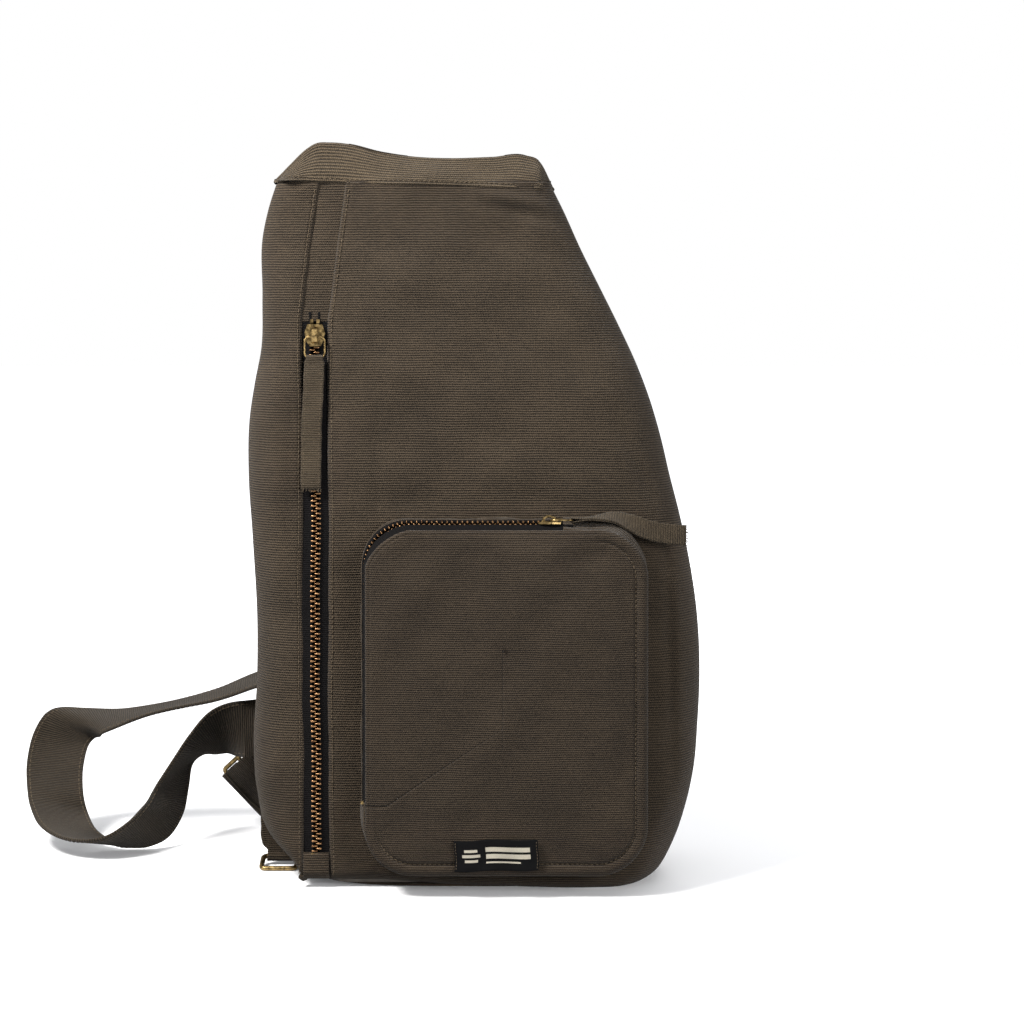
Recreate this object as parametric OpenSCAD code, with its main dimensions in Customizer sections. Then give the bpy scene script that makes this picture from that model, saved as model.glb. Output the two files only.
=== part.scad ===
// Canvas sling bag: zipped body, zipped front pocket, one long adjustable strap.
// Units are millimetres. +X is the wearer-facing right edge, -Y the front, +Z up.
// The origin is the centre of the flat base, on the surface the bag stands on.

/* [Body] */
// Width of the body at its widest
body_w = 282; // [230:2:340]
// Height of the body below the top band
body_h = 433; // [355:1:520]
// Depth of the body at the base
body_d = 104; // [84:2:126]
// Height of the folded top band
band_h = 26; // [20:1:34]
// Thickness of the canvas wall, two plies with their seam
canvas_t = 1.6; // [1.2:0.1:2.4]
// Thickness of the lining cloth
lining_t = 0.6; // [0.4:0.1:1]
// Thickness of the foam in the back
foam_t = 4; // [3:0.5:6]
// Thickness of the boxed base, canvas and stiffening board
base_t = 3; // [2:0.5:4]
// Lean of the front face, in degrees
lean = 5; // [3:0.5:6]

/* [Main zip] */
// Distance of the main zip from the middle of the bag
zip_x = 98.4; // [92:0.2:104]
// Height of the lower end of the main zip, along the front
zip_z0 = 19; // [15:1:30]
// Length of the main zip
zip_len = 334; // [280:1:340]
// Width of the gap that shows the zip
zip_gap = 15.6; // [14:0.2:18]
// Width of the closed row of teeth
chain_w = 6.2; // [5:0.2:7]
// Spacing of the teeth on one tape
tooth_pitch = 3.1; // [2.6:0.1:3.6]

/* [Pull tabs] */
// Width of a canvas pull tab
pull_w = 12.5; // [10:0.5:14]
// Length of a canvas pull tab
pull_len = 82; // [60:1:95]
// Thickness of a folded pull tab
pull_t = 1.6; // [1.2:0.1:2]
// Thickness of the wire in a pull ring
wire = 1.2; // [1:0.1:1.4]

/* [Pocket] */
// Width of the front pocket
pocket_w = 175; // [150:1:182]
// Height of the front pocket
pocket_h = 214; // [180:1:230]
// Depth of the front pocket
pocket_d = 26; // [22:1:32]
// Distance of the pocket's left edge from the middle of the bag
pocket_x = 70; // [62:1:76]
// Height of the pocket's lower edge, along the front
pocket_z = 13; // [10:1:24]
// Corner radius of the pocket
pocket_r = 30; // [22:1:36]
// Width of the folded lip around the pocket front
lip_w = 8; // [5:0.5:10]
// Length of the woven label
label_w = 51; // [40:1:60]
// Height of the woven label
label_h = 19; // [14:1:22]

/* [Strap] */
// Width of the strap
strap_w = 38; // [34:1:40]
// Thickness of the strap
strap_t = 2.4; // [1.8:0.1:3]
// Thickness of the wire in the rings and the adjuster
bar = 3.2; // [2.8:0.1:3.6]

/* [Hidden] */

gap = 0.3;                       // clearance between separate bodies
half_w = body_w / 2;
half_d = body_d / 2;
front_y0 = -half_d;              // the front face at the floor
zip_z1 = zip_z0 + zip_len;       // upper end of the main zip, along the front
tape_t = 0.8;                    // zip tape
tooth_w = 1.25;                  // one tooth along the zip
tooth_h = 2.8;                   // one tooth through the tape
plate_t = 1.2;                   // one plate of a slider
slider_w = 12.6;
slider_l = 13.5;
ring_w = 13.6;                   // pull ring, over the wire
ring_l = 14;
bridge_w = 3.4;
bridge_h = 4.2;

canvas_c = "#483f36";
light_c = "#5a524a";
tape_c = "#1a1718";
brass_c = "#9a814c";
lining_c = "#6a6156";

// ---- shape of the body: edges as shares of the half width, by share of the height ----
left_edge = [[0, .745], [.055, .925], [.14, .993], [.33, .975], [.58, 1], [.76, .943], [.92, .94], [1, .87]];
right_edge = [[0, .80], [.097, .943], [.25, 1], [.40, .985], [.58, .865], [.74, .723], [.914, .465], [1, .335]];
back_edge = [[0, .92], [.23, 1], [.58, .87], [.88, .56], [1, .24]];
function left_x(z) = -half_w * lookup(z / body_h, left_edge);
function right_x(z) = half_w * lookup(z / body_h, right_edge);
function back_y(z) = half_d * lookup(z / body_h, back_edge);
function front_y(z) = front_y0 + z * tan(lean);
round_left = 26;                 // how far the side rounds into the front, left
round_right = 34;                // and right
header_w = 17;                   // width of the strip above the zip
header_shift = 10.5;             // how far its top leans to the middle
zip_top_z = zip_z1 * cos(lean);
function lean_in(z) = header_shift * max(0, (z - zip_top_z) / (body_h - zip_top_z));
function zip_edge(z, side) = -zip_x + side * zip_gap / 2 + lean_in(z);

arc_n = 6;
levels_s = concat([for (z = [base_t, 12, 24, 42, 60, 90, 125, 160, 200, 240, 275, 310]) if (z < zip_top_z - 12) z],
    [for (k = [0:3]) lerp(zip_top_z, body_h, k / 3)]);
function lerp(a, b, t) = a + (b - a) * t;

// One level of the left, the middle or the back, at a depth t inside the outer face
function left_row(z, t) = concat(
    [for (i = [0:arc_n]) let (a = 90 * i / arc_n)
        [min(left_x(z) + t + round_left * (1 - cos(a)) * .86, zip_edge(z, -1) - 0.1 - 0.2 * (arc_n - i) / arc_n),
         (front_y(z) + t) * sin(a), z]],
    [[zip_edge(z, -1), front_y(z) + t, z]]);
function main_row(z, t) = concat(
    [for (i = [0:3]) [lerp(zip_edge(z, 1), right_x(z) - round_right - t, i / 4), front_y(z) + t, z]],
    [for (i = [0:arc_n]) let (a = 90 * (1 - i / arc_n))
        [right_x(z) - t - round_right * (1 - cos(a)), (front_y(z) + t) * sin(a), z]]);
function back_row(z, t) = concat(
    [for (i = [0:arc_n]) let (a = 90 * i / arc_n)
        [right_x(z) - t - round_right * (1 - cos(a)), (back_y(z) - t) * sin(a), z]],
    [for (i = [1:3]) [lerp(right_x(z) - t - round_right, left_x(z) + t + round_left, i / 4), back_y(z) - t, z]],
    [for (i = [0:arc_n]) let (a = 90 * (1 - i / arc_n))
        [left_x(z) + t + round_left * (1 - cos(a)), (back_y(z) - t) * sin(a), z]]);
function front_row(z, t) = concat(
    [for (i = [0:arc_n]) let (a = 90 * i / arc_n)
        [left_x(z) + t + round_left * (1 - cos(a)), (front_y(z) + t) * sin(a), z]],
    [for (i = [1:3]) [lerp(left_x(z) + t + round_left, right_x(z) - t - round_right, i / 4), front_y(z) + t, z]],
    [for (i = [0:arc_n]) let (a = 90 * (1 - i / arc_n))
        [right_x(z) - t - round_right * (1 - cos(a)), (front_y(z) + t) * sin(a), z]]);

// A closed skin between two grids of points of the same size
module slab(outer, inner) {
    m = len(outer);
    n = len(outer[0]);
    k = m * n;
    pts = concat([for (r = outer) each r], [for (r = inner) each r]);
    function id(i, j) = i * n + j;
    quads = concat(
        [for (i = [0:m - 2], j = [0:n - 2]) [id(i, j), id(i + 1, j), id(i + 1, j + 1), id(i, j + 1)]],
        [for (i = [0:m - 2], j = [0:n - 2])
            [k + id(i, j), k + id(i, j + 1), k + id(i + 1, j + 1), k + id(i + 1, j)]],
        [for (j = [0:n - 2]) [id(0, j), id(0, j + 1), k + id(0, j + 1), k + id(0, j)]],
        [for (j = [0:n - 2]) [id(m - 1, j + 1), id(m - 1, j), k + id(m - 1, j), k + id(m - 1, j + 1)]],
        [for (i = [0:m - 2]) [id(i + 1, 0), id(i, 0), k + id(i, 0), k + id(i + 1, 0)]],
        [for (i = [0:m - 2]) [id(i, n - 1), id(i + 1, n - 1), k + id(i + 1, n - 1), k + id(i, n - 1)]]);
    polyhedron(pts, [for (q = quads) each [[q[0], q[1], q[2]], [q[0], q[2], q[3]]]]);
}

// Puts what is drawn flat on the leaning front: x across, y up the front, z out of it
module on_front() translate([0, front_y0, 0]) rotate([90 - lean, 0, 0]) children();

// ---- body ----
module base_panel() color(canvas_c) linear_extrude(base_t - gap / 3) polygon(base_outline(0));
function base_outline(t) = concat(
    [for (i = [0:arc_n]) let (a = 90 * i / arc_n) [left_x(0) + t + 20 * (1 - cos(a)), (front_y0 + t) * sin(a)]],
    [for (i = [0:arc_n]) let (a = 90 * (1 - i / arc_n)) [right_x(0) - t - 20 * (1 - cos(a)), (front_y0 + t) * sin(a)]],
    [for (i = [1:arc_n]) let (a = 90 * i / arc_n) [right_x(0) - t - 20 * (1 - cos(a)), (back_y(0) - t) * sin(a)]],
    [for (i = [0:arc_n - 1]) let (a = 90 * (1 - i / arc_n)) [left_x(0) + t + 20 * (1 - cos(a)), (back_y(0) - t) * sin(a)]]);
module base_board() color(lining_c) translate([0, 0, base_t]) linear_extrude(2) polygon(base_outline(lining_in + 3.5));
slot_w = 20;
lining_in = canvas_t + 0.5;      // where the lining starts, inside the outer face
module back_panel() color(canvas_c)
    slab([for (z = levels_s) back_row(z, 0)], [for (z = levels_s) back_row(z, canvas_t)]);
module front_left_panel() color(light_c)
    slab([for (z = levels_s) left_row(z, 0)], [for (z = levels_s) left_row(z, canvas_t)]);
module front_main_panel() color(light_c)
    slab([for (z = levels_s) main_row(z, 0)], [for (z = levels_s) main_row(z, canvas_t)]);
in_levels = [for (z = levels_s) z <= base_t ? base_t + 3 : z >= body_h ? body_h - 4 : z];
// The lining is open along the zip, so that the slider has room behind it
module lining_front() color(lining_c) difference() {
    slab([for (z = in_levels) front_row(z, lining_in + 1.6)], [for (z = in_levels) front_row(z, lining_in + 1.6 + lining_t)]);
    on_front() translate([-zip_x - slot_w / 2, zip_z0 - 3, -lining_in - 12]) cube([slot_w, zip_len + 8, 24]);
}
back_lining_in = canvas_t + 0.3 + foam_t + 0.3;
module lining_back() color(lining_c)
    slab([for (z = in_levels) lining_back_row(z, 0)], [for (z = in_levels) lining_back_row(z, lining_t)]);
function lining_back_row(z, t) = [for (p = back_row(z, lining_in + 1.6 + t))
    [p[0], min(p[1], max(0.4, back_y(z) - back_lining_in - t)), z]];
foam_levels = [for (z = levels_s) if (z > 20 && z < body_h - 50) z];
module back_foam() color("#b9b4aa")
    slab([for (z = foam_levels) foam_row(z, canvas_t + 0.3)], [for (z = foam_levels) foam_row(z, canvas_t + 0.3 + foam_t)]);
function foam_row(z, t) = [for (i = [0:4])
    [lerp(right_x(z) - round_right - 6, left_x(z) + round_left + 6, i / 4), back_y(z) - t, z]];

// The folded band that closes the top; its upper edge rises to a peak on the left
band_top = [[0, 2], [.15, band_h], [.27, band_h - .6], [.45, band_h - 6], [.63, band_h - 9], [.80, band_h - 8], [.94, band_h - 8], [1, 2]];
band_left = left_x(body_h);
band_right = right_x(body_h);
band_u = [0, .06, .15, .27, .45, .63, .80, .94, 1];
band_lean = 6;                   // how far the top edge sits behind the front face
function band_z(u, v) = body_h + 0.2 + v * lookup(u, band_top);
function band_y(v, side) = side < 0
    ? lerp(front_y(body_h), front_y(body_h) + band_lean, v)
    : lerp(back_y(body_h), front_y(body_h) + band_lean + 5, v);
module top_band() color("#665f59")
    slab([for (v = [0, .35, .7, 1]) [for (u = band_u) [lerp(band_left, band_right, u), band_y(v, -1), band_z(u, v)]]],
         [for (v = [0, .35, .7, 1]) [for (u = band_u) [lerp(band_left, band_right, u), band_y(v, 1), band_z(u, v)]]]);

// ---- main zip ----
header_gap = 0.2;
foot_gap = 0.4;
module zip_header_strip() color(light_c)
    slab([for (z = [zip_top_z, body_h]) [for (s = [-1, 1]) [zip_edge(z, s) - s * header_gap, front_y(z) + 0.1, z]]],
         [for (z = [zip_top_z, body_h]) [for (s = [-1, 1]) [zip_edge(z, s) - s * header_gap, front_y(z) + canvas_t, z]]]);
module zip_foot_tab() color(canvas_c) on_front()
    translate([-zip_x - zip_gap / 2 + foot_gap, base_t + 1, -canvas_t]) cube([zip_gap - 2 * foot_gap, zip_z0 - base_t - 1.5, canvas_t + 0.2]);
module zip_tape(side) on_front()
    translate([-zip_x + (side < 0 ? -zip_gap / 2 + header_gap : chain_w / 2), zip_z0, -1.4])
        cube([zip_gap / 2 - chain_w / 2 - header_gap, zip_len - 0.4, tape_t]);
module main_zip_tape_left() color(tape_c) zip_tape(-1);
module main_zip_tape_right() color(tape_c) zip_tape(1);
teeth_n = floor((zip_len - slider_l) / tooth_pitch) - 1;
teeth_z0 = zip_z0 + 4;
tooth_reach = chain_w / 2 + 0.7; // a tooth passes the middle to mesh with the other side
module zip_teeth(side) on_front()
    for (i = [0:teeth_n - 1])
        translate([-zip_x + (side < 0 ? -chain_w / 2 : chain_w / 2 - tooth_reach), teeth_z0 + (i + (side < 0 ? 0 : 0.5)) * tooth_pitch, -1 - tooth_h / 2])
            cube([tooth_reach - 0.05, tooth_w, tooth_h]);
module main_zip_teeth_left() color(brass_c) zip_teeth(-1);
module main_zip_teeth_right() color(brass_c) zip_teeth(1);
module main_zip_top_stops() color(brass_c) on_front()
    for (s = [-1, 1]) translate([-zip_x + s * 2 - 1, zip_z1 - 3, -1 - tooth_h / 2]) cube([2, 2.4, tooth_h]);
module main_zip_bottom_stop() color(brass_c) on_front()
    translate([-zip_x - chain_w / 2, zip_z0 + 0.6, -1 - tooth_h / 2]) cube([chain_w, 2.6, tooth_h]);

// A slider, drawn with the chain along y and the front towards z; its middle is the origin
slot_h = tooth_h / 2 + gap;      // from the middle of the teeth to a plate
module slider_plate(w, l) linear_extrude(plate_t)
    polygon([[-w * .28, -l / 2], [w * .28, -l / 2], [w * .4, -l * .3], [w / 2, l * .12], [w * .36, l / 2],
             [-w * .36, l / 2], [-w / 2, l * .12], [-w * .4, -l * .3]]);
module slider() {
    translate([0, 0, slot_h]) slider_plate(slider_w, slider_l);
    translate([0, 0, -slot_h - plate_t]) slider_plate(slider_w, slider_l);
    translate([0, slider_l / 2 - 2, -slot_h - 0.2]) linear_extrude(2 * slot_h + 0.4)
        polygon([[0, -2.6], [1.3, 0], [1, 2], [-1, 2], [-1.3, 0]]);
    translate([-bridge_w / 2, 0, slot_h + plate_t - 0.05]) rotate([90, 0, 90]) linear_extrude(bridge_w)
        difference() {
            polygon([[-5, 0], [-4.2, 2.6], [-2.6, bridge_h - 0.6], [0, bridge_h], [3.4, bridge_h - 1.2], [5.4, 0]]);
            polygon([[-2.9, 0.4], [-2.9, 1.9], [-1.6, bridge_h - 1.3], [0, bridge_h - 1.1], [1.6, bridge_h - 1.7], [1.9, 0.4]]);
        }
}
// A wire ring in the x-y plane: its top bar is on the origin, and it hangs towards -y
module wire_ring(w, l, r, d) {
    iw = w / 2 - d / 2;
    il = l - d;
    for (s = [-1, 1]) translate([s * iw, -r, 0]) rotate([90, 0, 0]) cylinder(d = d, h = il - 2 * r, $fn = 24);
    for (y = [0, -il]) translate([-iw + r, y, 0]) rotate([0, 90, 0]) cylinder(d = d, h = 2 * (iw - r), $fn = 24);
    for (s = [0, 1]) mirror([s, 0, 0]) {
        translate([iw - r, -r, 0]) rotate_extrude(angle = 90, $fn = 32) translate([r, 0]) circle(d = d, $fn = 24);
        translate([iw - r, -il + r, 0]) rotate([0, 0, -90]) rotate_extrude(angle = 90, $fn = 32) translate([r, 0]) circle(d = d, $fn = 24);
    }
}
corner_r = 3;
// A canvas tab that hangs from the origin towards -y, folded round a bar there
module pull_tab(len, t, w, neck) {
    difference() {
        union() {
            rotate([0, 90, 0]) cylinder(d = wire + 2 * t, h = neck, center = true, $fn = 32);
            translate([-neck / 2, -shoulder, -t / 2]) cube([neck, shoulder, t]);
            translate([-w / 2, -len, -t / 2]) cube([w, len - shoulder, t]);
        }
        rotate([0, 90, 0]) cylinder(d = wire + 0.3, h = neck + 1, center = true, $fn = 32);
    }
}
neck_w = ring_w - wire - 2 * corner_r - 1;       // of a tab where it goes through its ring
shoulder = 3;                                    // below the ring bar the tab has its full width
main_slider_z = zip_z1 - slider_l / 2 - 3.6;
pivot_h = slot_h + plate_t + 1.2;                // of a pull ring, above the middle of the teeth
teeth_mid = -1;                                  // middle of the teeth, behind the front face
module at_main_slider() on_front() translate([-zip_x, main_slider_z, teeth_mid]) children();
module main_zip_slider() color(brass_c) at_main_slider() slider();
module main_zip_ring() color(brass_c) at_main_slider() translate([0, -1, pivot_h]) wire_ring(ring_w, ring_l, corner_r, wire);
module main_zip_pull() color(canvas_c) at_main_slider()
    translate([0, -1 - ring_l + wire, pivot_h]) pull_tab(pull_len, pull_t, pull_w, neck_w);

// ---- front pocket: rings of wall on the leaning front ----
corner_n = 8;
pocket_x0 = -pocket_x;
pocket_x1 = pocket_x0 + pocket_w;
pocket_z1 = pocket_z + pocket_h;
// Outline of the pocket, moved in by t
function pocket_outline(t) =
    let (r = max(2, pocket_r - t), x0 = pocket_x0 + t, x1 = pocket_x1 - t, z0 = pocket_z + t, z1 = pocket_z1 - t)
    [for (c = [[x1 - r, z1 - r, 0], [x0 + r, z1 - r, 90], [x0 + r, z0 + r, 180], [x1 - r, z0 + r, 270]])
        for (i = [0:corner_n]) let (a = c[2] + 90 * i / corner_n) [c[0] + r * cos(a), c[1] + r * sin(a)]];
module pocket_ring(t0, t1) difference() {
    polygon(pocket_outline(t0));
    polygon(pocket_outline(t1));
}
zip_low_z = pocket_z + 42;                       // the pocket zip starts this high on the left side
zip_right_x = pocket_x1 - 43;                    // and ends here on the top
module zip_zone() translate([pocket_x0 - 20, zip_low_z]) square([zip_right_x - pocket_x0 + 20, pocket_h]);
rear_h = 8;
tape_rear_h = 13.2;
tape_front_h = 16.8;
wall_h = pocket_d - 2;
side_in = 1;                                     // the walls lean in a little
module pocket_rear_gusset() color(canvas_c) on_front() translate([0, 0, 0.1]) linear_extrude(rear_h - 0.1) pocket_ring(0, canvas_t);
module pocket_side_gusset() color(canvas_c) on_front() translate([0, 0, rear_h]) linear_extrude(wall_h - rear_h)
    difference() {
        pocket_ring(side_in, side_in + canvas_t);
        zip_zone();
    }
module pocket_tape(h0, h1) on_front() translate([0, 0, h0]) linear_extrude(h1 - h0)
    intersection() {
        pocket_ring(side_in + 0.4, side_in + 0.4 + tape_t);
        zip_zone();
    }
module pocket_zip_tape_rear() color(tape_c) pocket_tape(rear_h, tape_rear_h);
module pocket_zip_tape_front() color(tape_c) pocket_tape(tape_front_h, wall_h);
// Place on the middle line of the pocket zip, s along it from its low end: [x, z, direction]
path_in = side_in + 0.8;
path_r = pocket_r - path_in;
leg_1 = pocket_z1 - path_in - path_r - zip_low_z;
leg_2 = path_r * PI / 2;
zip_path_len = leg_1 + leg_2 + zip_right_x - (pocket_x0 + path_in + path_r);
function zip_place(s) = s < leg_1
    ? [pocket_x0 + path_in, zip_low_z + s, 90]
    : s < leg_1 + leg_2
        ? let (a = 180 - (s - leg_1) / path_r * 180 / PI)
            [pocket_x0 + path_in + path_r + path_r * cos(a), pocket_z1 - path_in - path_r + path_r * sin(a), a - 90]
        : [pocket_x0 + path_in + path_r + s - leg_1 - leg_2, pocket_z1 - path_in, 0];
pocket_slider_s = zip_path_len - 16;
pocket_teeth_n = floor((pocket_slider_s - 5) / tooth_pitch);
module pocket_teeth(h0, shift) on_front()
    for (i = [0:pocket_teeth_n - 1]) let (p = zip_place(3.6 + (i + shift) * tooth_pitch))
        translate([p[0], p[1], h0]) rotate([0, 0, p[2]]) translate([-tooth_w / 2, -tooth_h / 2, 0]) cube([tooth_w, tooth_h, 2.15]);
module pocket_zip_teeth_rear() color(brass_c) pocket_teeth(tape_rear_h + 0.05, 0);
module pocket_zip_teeth_front() color(brass_c) pocket_teeth(tape_front_h - 2.2, 0.5);
module pocket_zip_stops() color(brass_c) on_front() {
    translate([pocket_x0 + path_in - tooth_h / 2, zip_low_z + 0.2, tape_rear_h]) cube([tooth_h, 1.8, tape_front_h - tape_rear_h]);
    for (h = [tape_rear_h + 0.2, tape_front_h - 1.6])
        translate([zip_right_x - 2.4, pocket_z1 - path_in - tooth_h / 2, h]) cube([2, tooth_h, 1.4]);
}
module pocket_front_panel() color(light_c) on_front() translate([0, 0, wall_h]) linear_extrude(canvas_t) polygon(pocket_outline(side_in + 1));
module pocket_lip() color(canvas_c) on_front() translate([0, 0, wall_h + canvas_t]) linear_extrude(0.6)
    difference() {
        pocket_ring(side_in + 1.2, side_in + 1.2 + lip_w);
        translate([pocket_x0 - 20, pocket_z + pocket_r]) square([pocket_w + 20 - pocket_r, pocket_h]);
    }
label_x = 13;                                    // middle of the label
module label() color("#242426") on_front()
    translate([label_x - label_w / 2, pocket_z + 3.5, wall_h + canvas_t + 0.6]) cube([label_w, label_h, 0.6]);

chain_h = (tape_rear_h + tape_front_h) / 2;      // middle line of the pocket zip, out from the front
module at_pocket_slider() on_front()
    translate([zip_place(pocket_slider_s)[0], pocket_z1 - path_in, chain_h]) rotate([-90, 0, 0]) rotate([0, 0, -90]) children();
module pocket_zip_slider() color(brass_c) at_pocket_slider() slider();
module pocket_zip_ring() color(brass_c) at_pocket_slider()
    translate([0, 1, pivot_h]) rotate([0, 0, 180]) wire_ring(ring_w, ring_l, corner_r, wire);

// ---- ribbons: rows of two edge points, joined by straight rulings ----
function unit(v) = v / norm(v);
function spline(p0, p1, p2, p3, t) = 0.5 * (2 * p1 + (p2 - p0) * t + (2 * p0 - 5 * p1 + 4 * p2 - p3) * t * t + (3 * p1 - p0 - 3 * p2 + p3) * t * t * t);
function smooth(rows, n) = [for (i = [0:len(rows) - 2], k = [0:n - (i == len(rows) - 2 ? 0 : 1)])
    let (a = rows[max(i - 1, 0)], b = rows[i], c = rows[i + 1], d = rows[min(i + 2, len(rows) - 1)])
    [for (e = [0, 1]) spline(a[e], b[e], c[e], d[e], k / n)]];
// The band of width w and thickness t on the middle lines of the rows
module ribbon(rows, w, t, n) {
    r = smooth(rows, n);
    m = len(r);
    mid = [for (q = r) (q[0] + q[1]) / 2];
    across = [for (q = r) unit(q[1] - q[0])];
    along = [for (i = [0:m - 1]) unit(mid[min(i + 1, m - 1)] - mid[max(i - 1, 0)])];
    up = [for (i = [0:m - 1]) unit(cross(along[i], across[i]))];
    slab([for (i = [0:m - 1]) [mid[i] - across[i] * w / 2 - up[i] * t / 2, mid[i] + across[i] * w / 2 - up[i] * t / 2]],
         [for (i = [0:m - 1]) [mid[i] - across[i] * w / 2 + up[i] * t / 2, mid[i] + across[i] * w / 2 + up[i] * t / 2]]);
}

// The pocket pull turns a quarter as it leaves the pocket top, so it is a ribbon.
// Rows: [along x, up the front, out of the front], then the tilt of its width.
pull_bar_x = zip_place(pocket_slider_s)[0] + 1 + ring_l - wire;
pull_bar_y = pocket_z1 - path_in + pivot_h;
pull_route = [[0, 0, 15, 0], [12, 1, 13.6, 6], [24, 1.4, 11.4, 28], [35, -2.6, 8.4, 62], [46, -6.6, 5.8, 84], [57, -8.8, 4.6, 90], [69, -9.8, 4.6, 90]];
pull_rows = [for (p = pull_route)
    let (c = [pull_bar_x + shoulder + p[0] * (pull_len - 13) / 69, pull_bar_y + p[1], p[2]], w = [0, -sin(p[3]), cos(p[3])] * pull_w / 2)
    [c - w, c + w]];
module pocket_zip_pull() color(canvas_c) on_front() {
    ribbon(pull_rows, pull_w, pull_t, 3);
    translate([pull_bar_x, pull_bar_y, chain_h]) difference() {
        cylinder(d = wire + 2 * pull_t, h = neck_w, center = true, $fn = 32);
        cylinder(d = wire + 0.3, h = pull_w, center = true, $fn = 32);
    }
    translate([pull_bar_x + wire / 2 + 0.5, pull_bar_y - pull_t / 2 + 0.05, chain_h - neck_w / 2]) cube([shoulder, pull_t - 0.1, neck_w]);
}

// ---- strap: its two edges, row by row, in millimetres ----
fit_w = (body_w - 282) / 2;       // how far the sides have moved from the size the rows were drawn for
fit_d = (body_d - 104) / 2;
fit_h = body_h - 433;
function held(v) = max(-1, min(1, v));
function fit(p) = [p[0] + fit_w * held(p[0] / 100), p[1] + fit_d * max(0, held(p[1] / 60)), p[2] + fit_h * max(0, held((p[2] - 120) / 313))];
function fitted(rows) = [for (r = rows) [for (p = r) fit(p)]];
strap_rows = [
    [[-1, 20, 436], [-39, 20, 436]], [[-3, 29, 415], [-41, 29, 415]], [[-8, 43, 380], [-46, 43, 380]],
    [[-16, 56, 320], [-54, 56, 320]], [[-30, 66, 250], [-68, 64, 250]], [[-48, 76, 190], [-84, 68, 186]],
    [[-76, 90, 150], [-101, 64, 138]], [[-112, 101, 122], [-124, 66, 114]],
    [[-155, 108, 105], [-151, 70, 103]], [[-177, 112, 95], [-173, 74, 95]], [[-200, 116, 88], [-195, 78, 89]],
    [[-226, 118, 83], [-221, 80, 82]], [[-248, 116, 80], [-240, 79, 76]], [[-270, 110, 81], [-251, 79, 72]],
    [[-287, 101, 82], [-258, 92, 67]], [[-296, 97, 77], [-261, 98, 63]], [[-302, 93, 64], [-265, 97, 57]],
    [[-304, 84, 48], [-266, 85, 44]], [[-301, 72, 34], [-264, 72, 30]], [[-297, 60, 25], [-260, 67, 19]],
    [[-289, 44, 18], [-252, 52, 11]], [[-273, 26, 14], [-243, 48, 5]], [[-256, 15, 14], [-234, 46, 2]],
    [[-239, 12, 17], [-226, 46, 2]], [[-225, 15, 26], [-216, 48, 2]], [[-218, 23, 33], [-204, 52, 7]],
    [[-215, 32, 36], [-196, 63, 20]], [[-213, 39, 40], [-193, 72, 36]], [[-209, 44, 47], [-191, 77, 50]],
    [[-200, 48, 61], [-184, 82, 56]], [[-189, 56, 76], [-176, 84, 56]], [[-179, 64, 87], [-168, 83, 57]],
    [[-168, 72, 92], [-162, 79, 56]], [[-154, 80, 93], [-155, 74, 56]]];
// The strap turns behind the bag and ends round the first bar of the adjuster
glide_c = [-159 - fit_w, 104 + fit_d, 25];       // middle of the adjuster's first bar
glide_d = [.68, 0, -.73];        // along its bars
glide_e = [.73, 0, .68];         // from the first bar to the third
bar_step = 13;                   // between its bars
wrap_r = bar / 2 + strap_t / 2 + gap;
wrap_slack = wrap_r + 0.4;       // a loop that has been drawn round a bar
function glide_row(e, y) = let (c = glide_c + glide_e * e + [0, y, 0]) [c - glide_d * strap_w / 2, c + glide_d * strap_w / 2];
turn_rows = concat(
    fitted([[[-153.6, 80, 93], [-154.6, 74, 56]], [[-140, 83, 94], [-143, 79, 56]], [[-126, 87, 92], [-128, 86, 54]], [[-114, 92, 86], [-113, 92, 48]],
     [[-112, 97.5, 82], [-105, 97.5, 45]], [[-120, 98.5, 78], [-106, 98.5, 43]]]),
    [glide_row(40, -6.6), glide_row(2 * bar_step, -7.2), glide_row(bar_step, -7)],
    [for (a = [-60:-30:-300]) glide_row(wrap_slack * cos(a), wrap_slack * sin(a))],
    [glide_row(9, wrap_slack)]);
ring_bar = [87 + fit_w, 62 + fit_d, 26];         // the corner ring's bar that the strap goes round
function ring_row(x, y) = let (c = ring_bar + [x, y, 0]) [c + [0, 0, strap_w / 2], c - [0, 0, strap_w / 2]];
lower_rows = concat(
    [glide_row(7.2, -1.4), glide_row(bar_step - 2, -wrap_r), glide_row(bar_step + 2, -wrap_r), glide_row(1.5 * bar_step, 0),
     glide_row(2 * bar_step - 2, wrap_r), glide_row(2 * bar_step + 2, wrap_r), glide_row(44, 4)],
    fitted([[[-128, 109, 85], [-106, 109, 54]], [[-90, 107, 88], [-78, 107, 52]], [[-50, 102, 80], [-46, 102, 43]],
     [[0, 93, 64], [0, 93, 26]], [[45, 82, 50], [45, 82, 12]], [[70, 73.5, 46], [70, 73.5, 8]]]),
    [for (a = [110:-28:-110]) ring_row(wrap_slack * cos(a), wrap_slack * sin(a))],
    [ring_row(-12, -wrap_r - 0.9), ring_row(-30, -wrap_r + 3)]);
module strap() color("#38332e") ribbon(fitted(strap_rows), strap_w, strap_t, 2);
module strap_turn() color("#38332e") ribbon(turn_rows, strap_w, strap_t, 2);
module strap_lower() color("#38332e") ribbon(lower_rows, strap_w, strap_t, 2);
module strap_anchor_patch() color(canvas_c) slab(
    [for (z = [body_h - 34, body_h - 6]) [for (x = [-44, -20, 4]) [x, back_y(z) + 0.1, z]]],
    [for (z = [body_h - 34, body_h - 6]) [for (x = [-44, -20, 4]) [x, back_y(z) + 1.5, z]]]);

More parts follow.
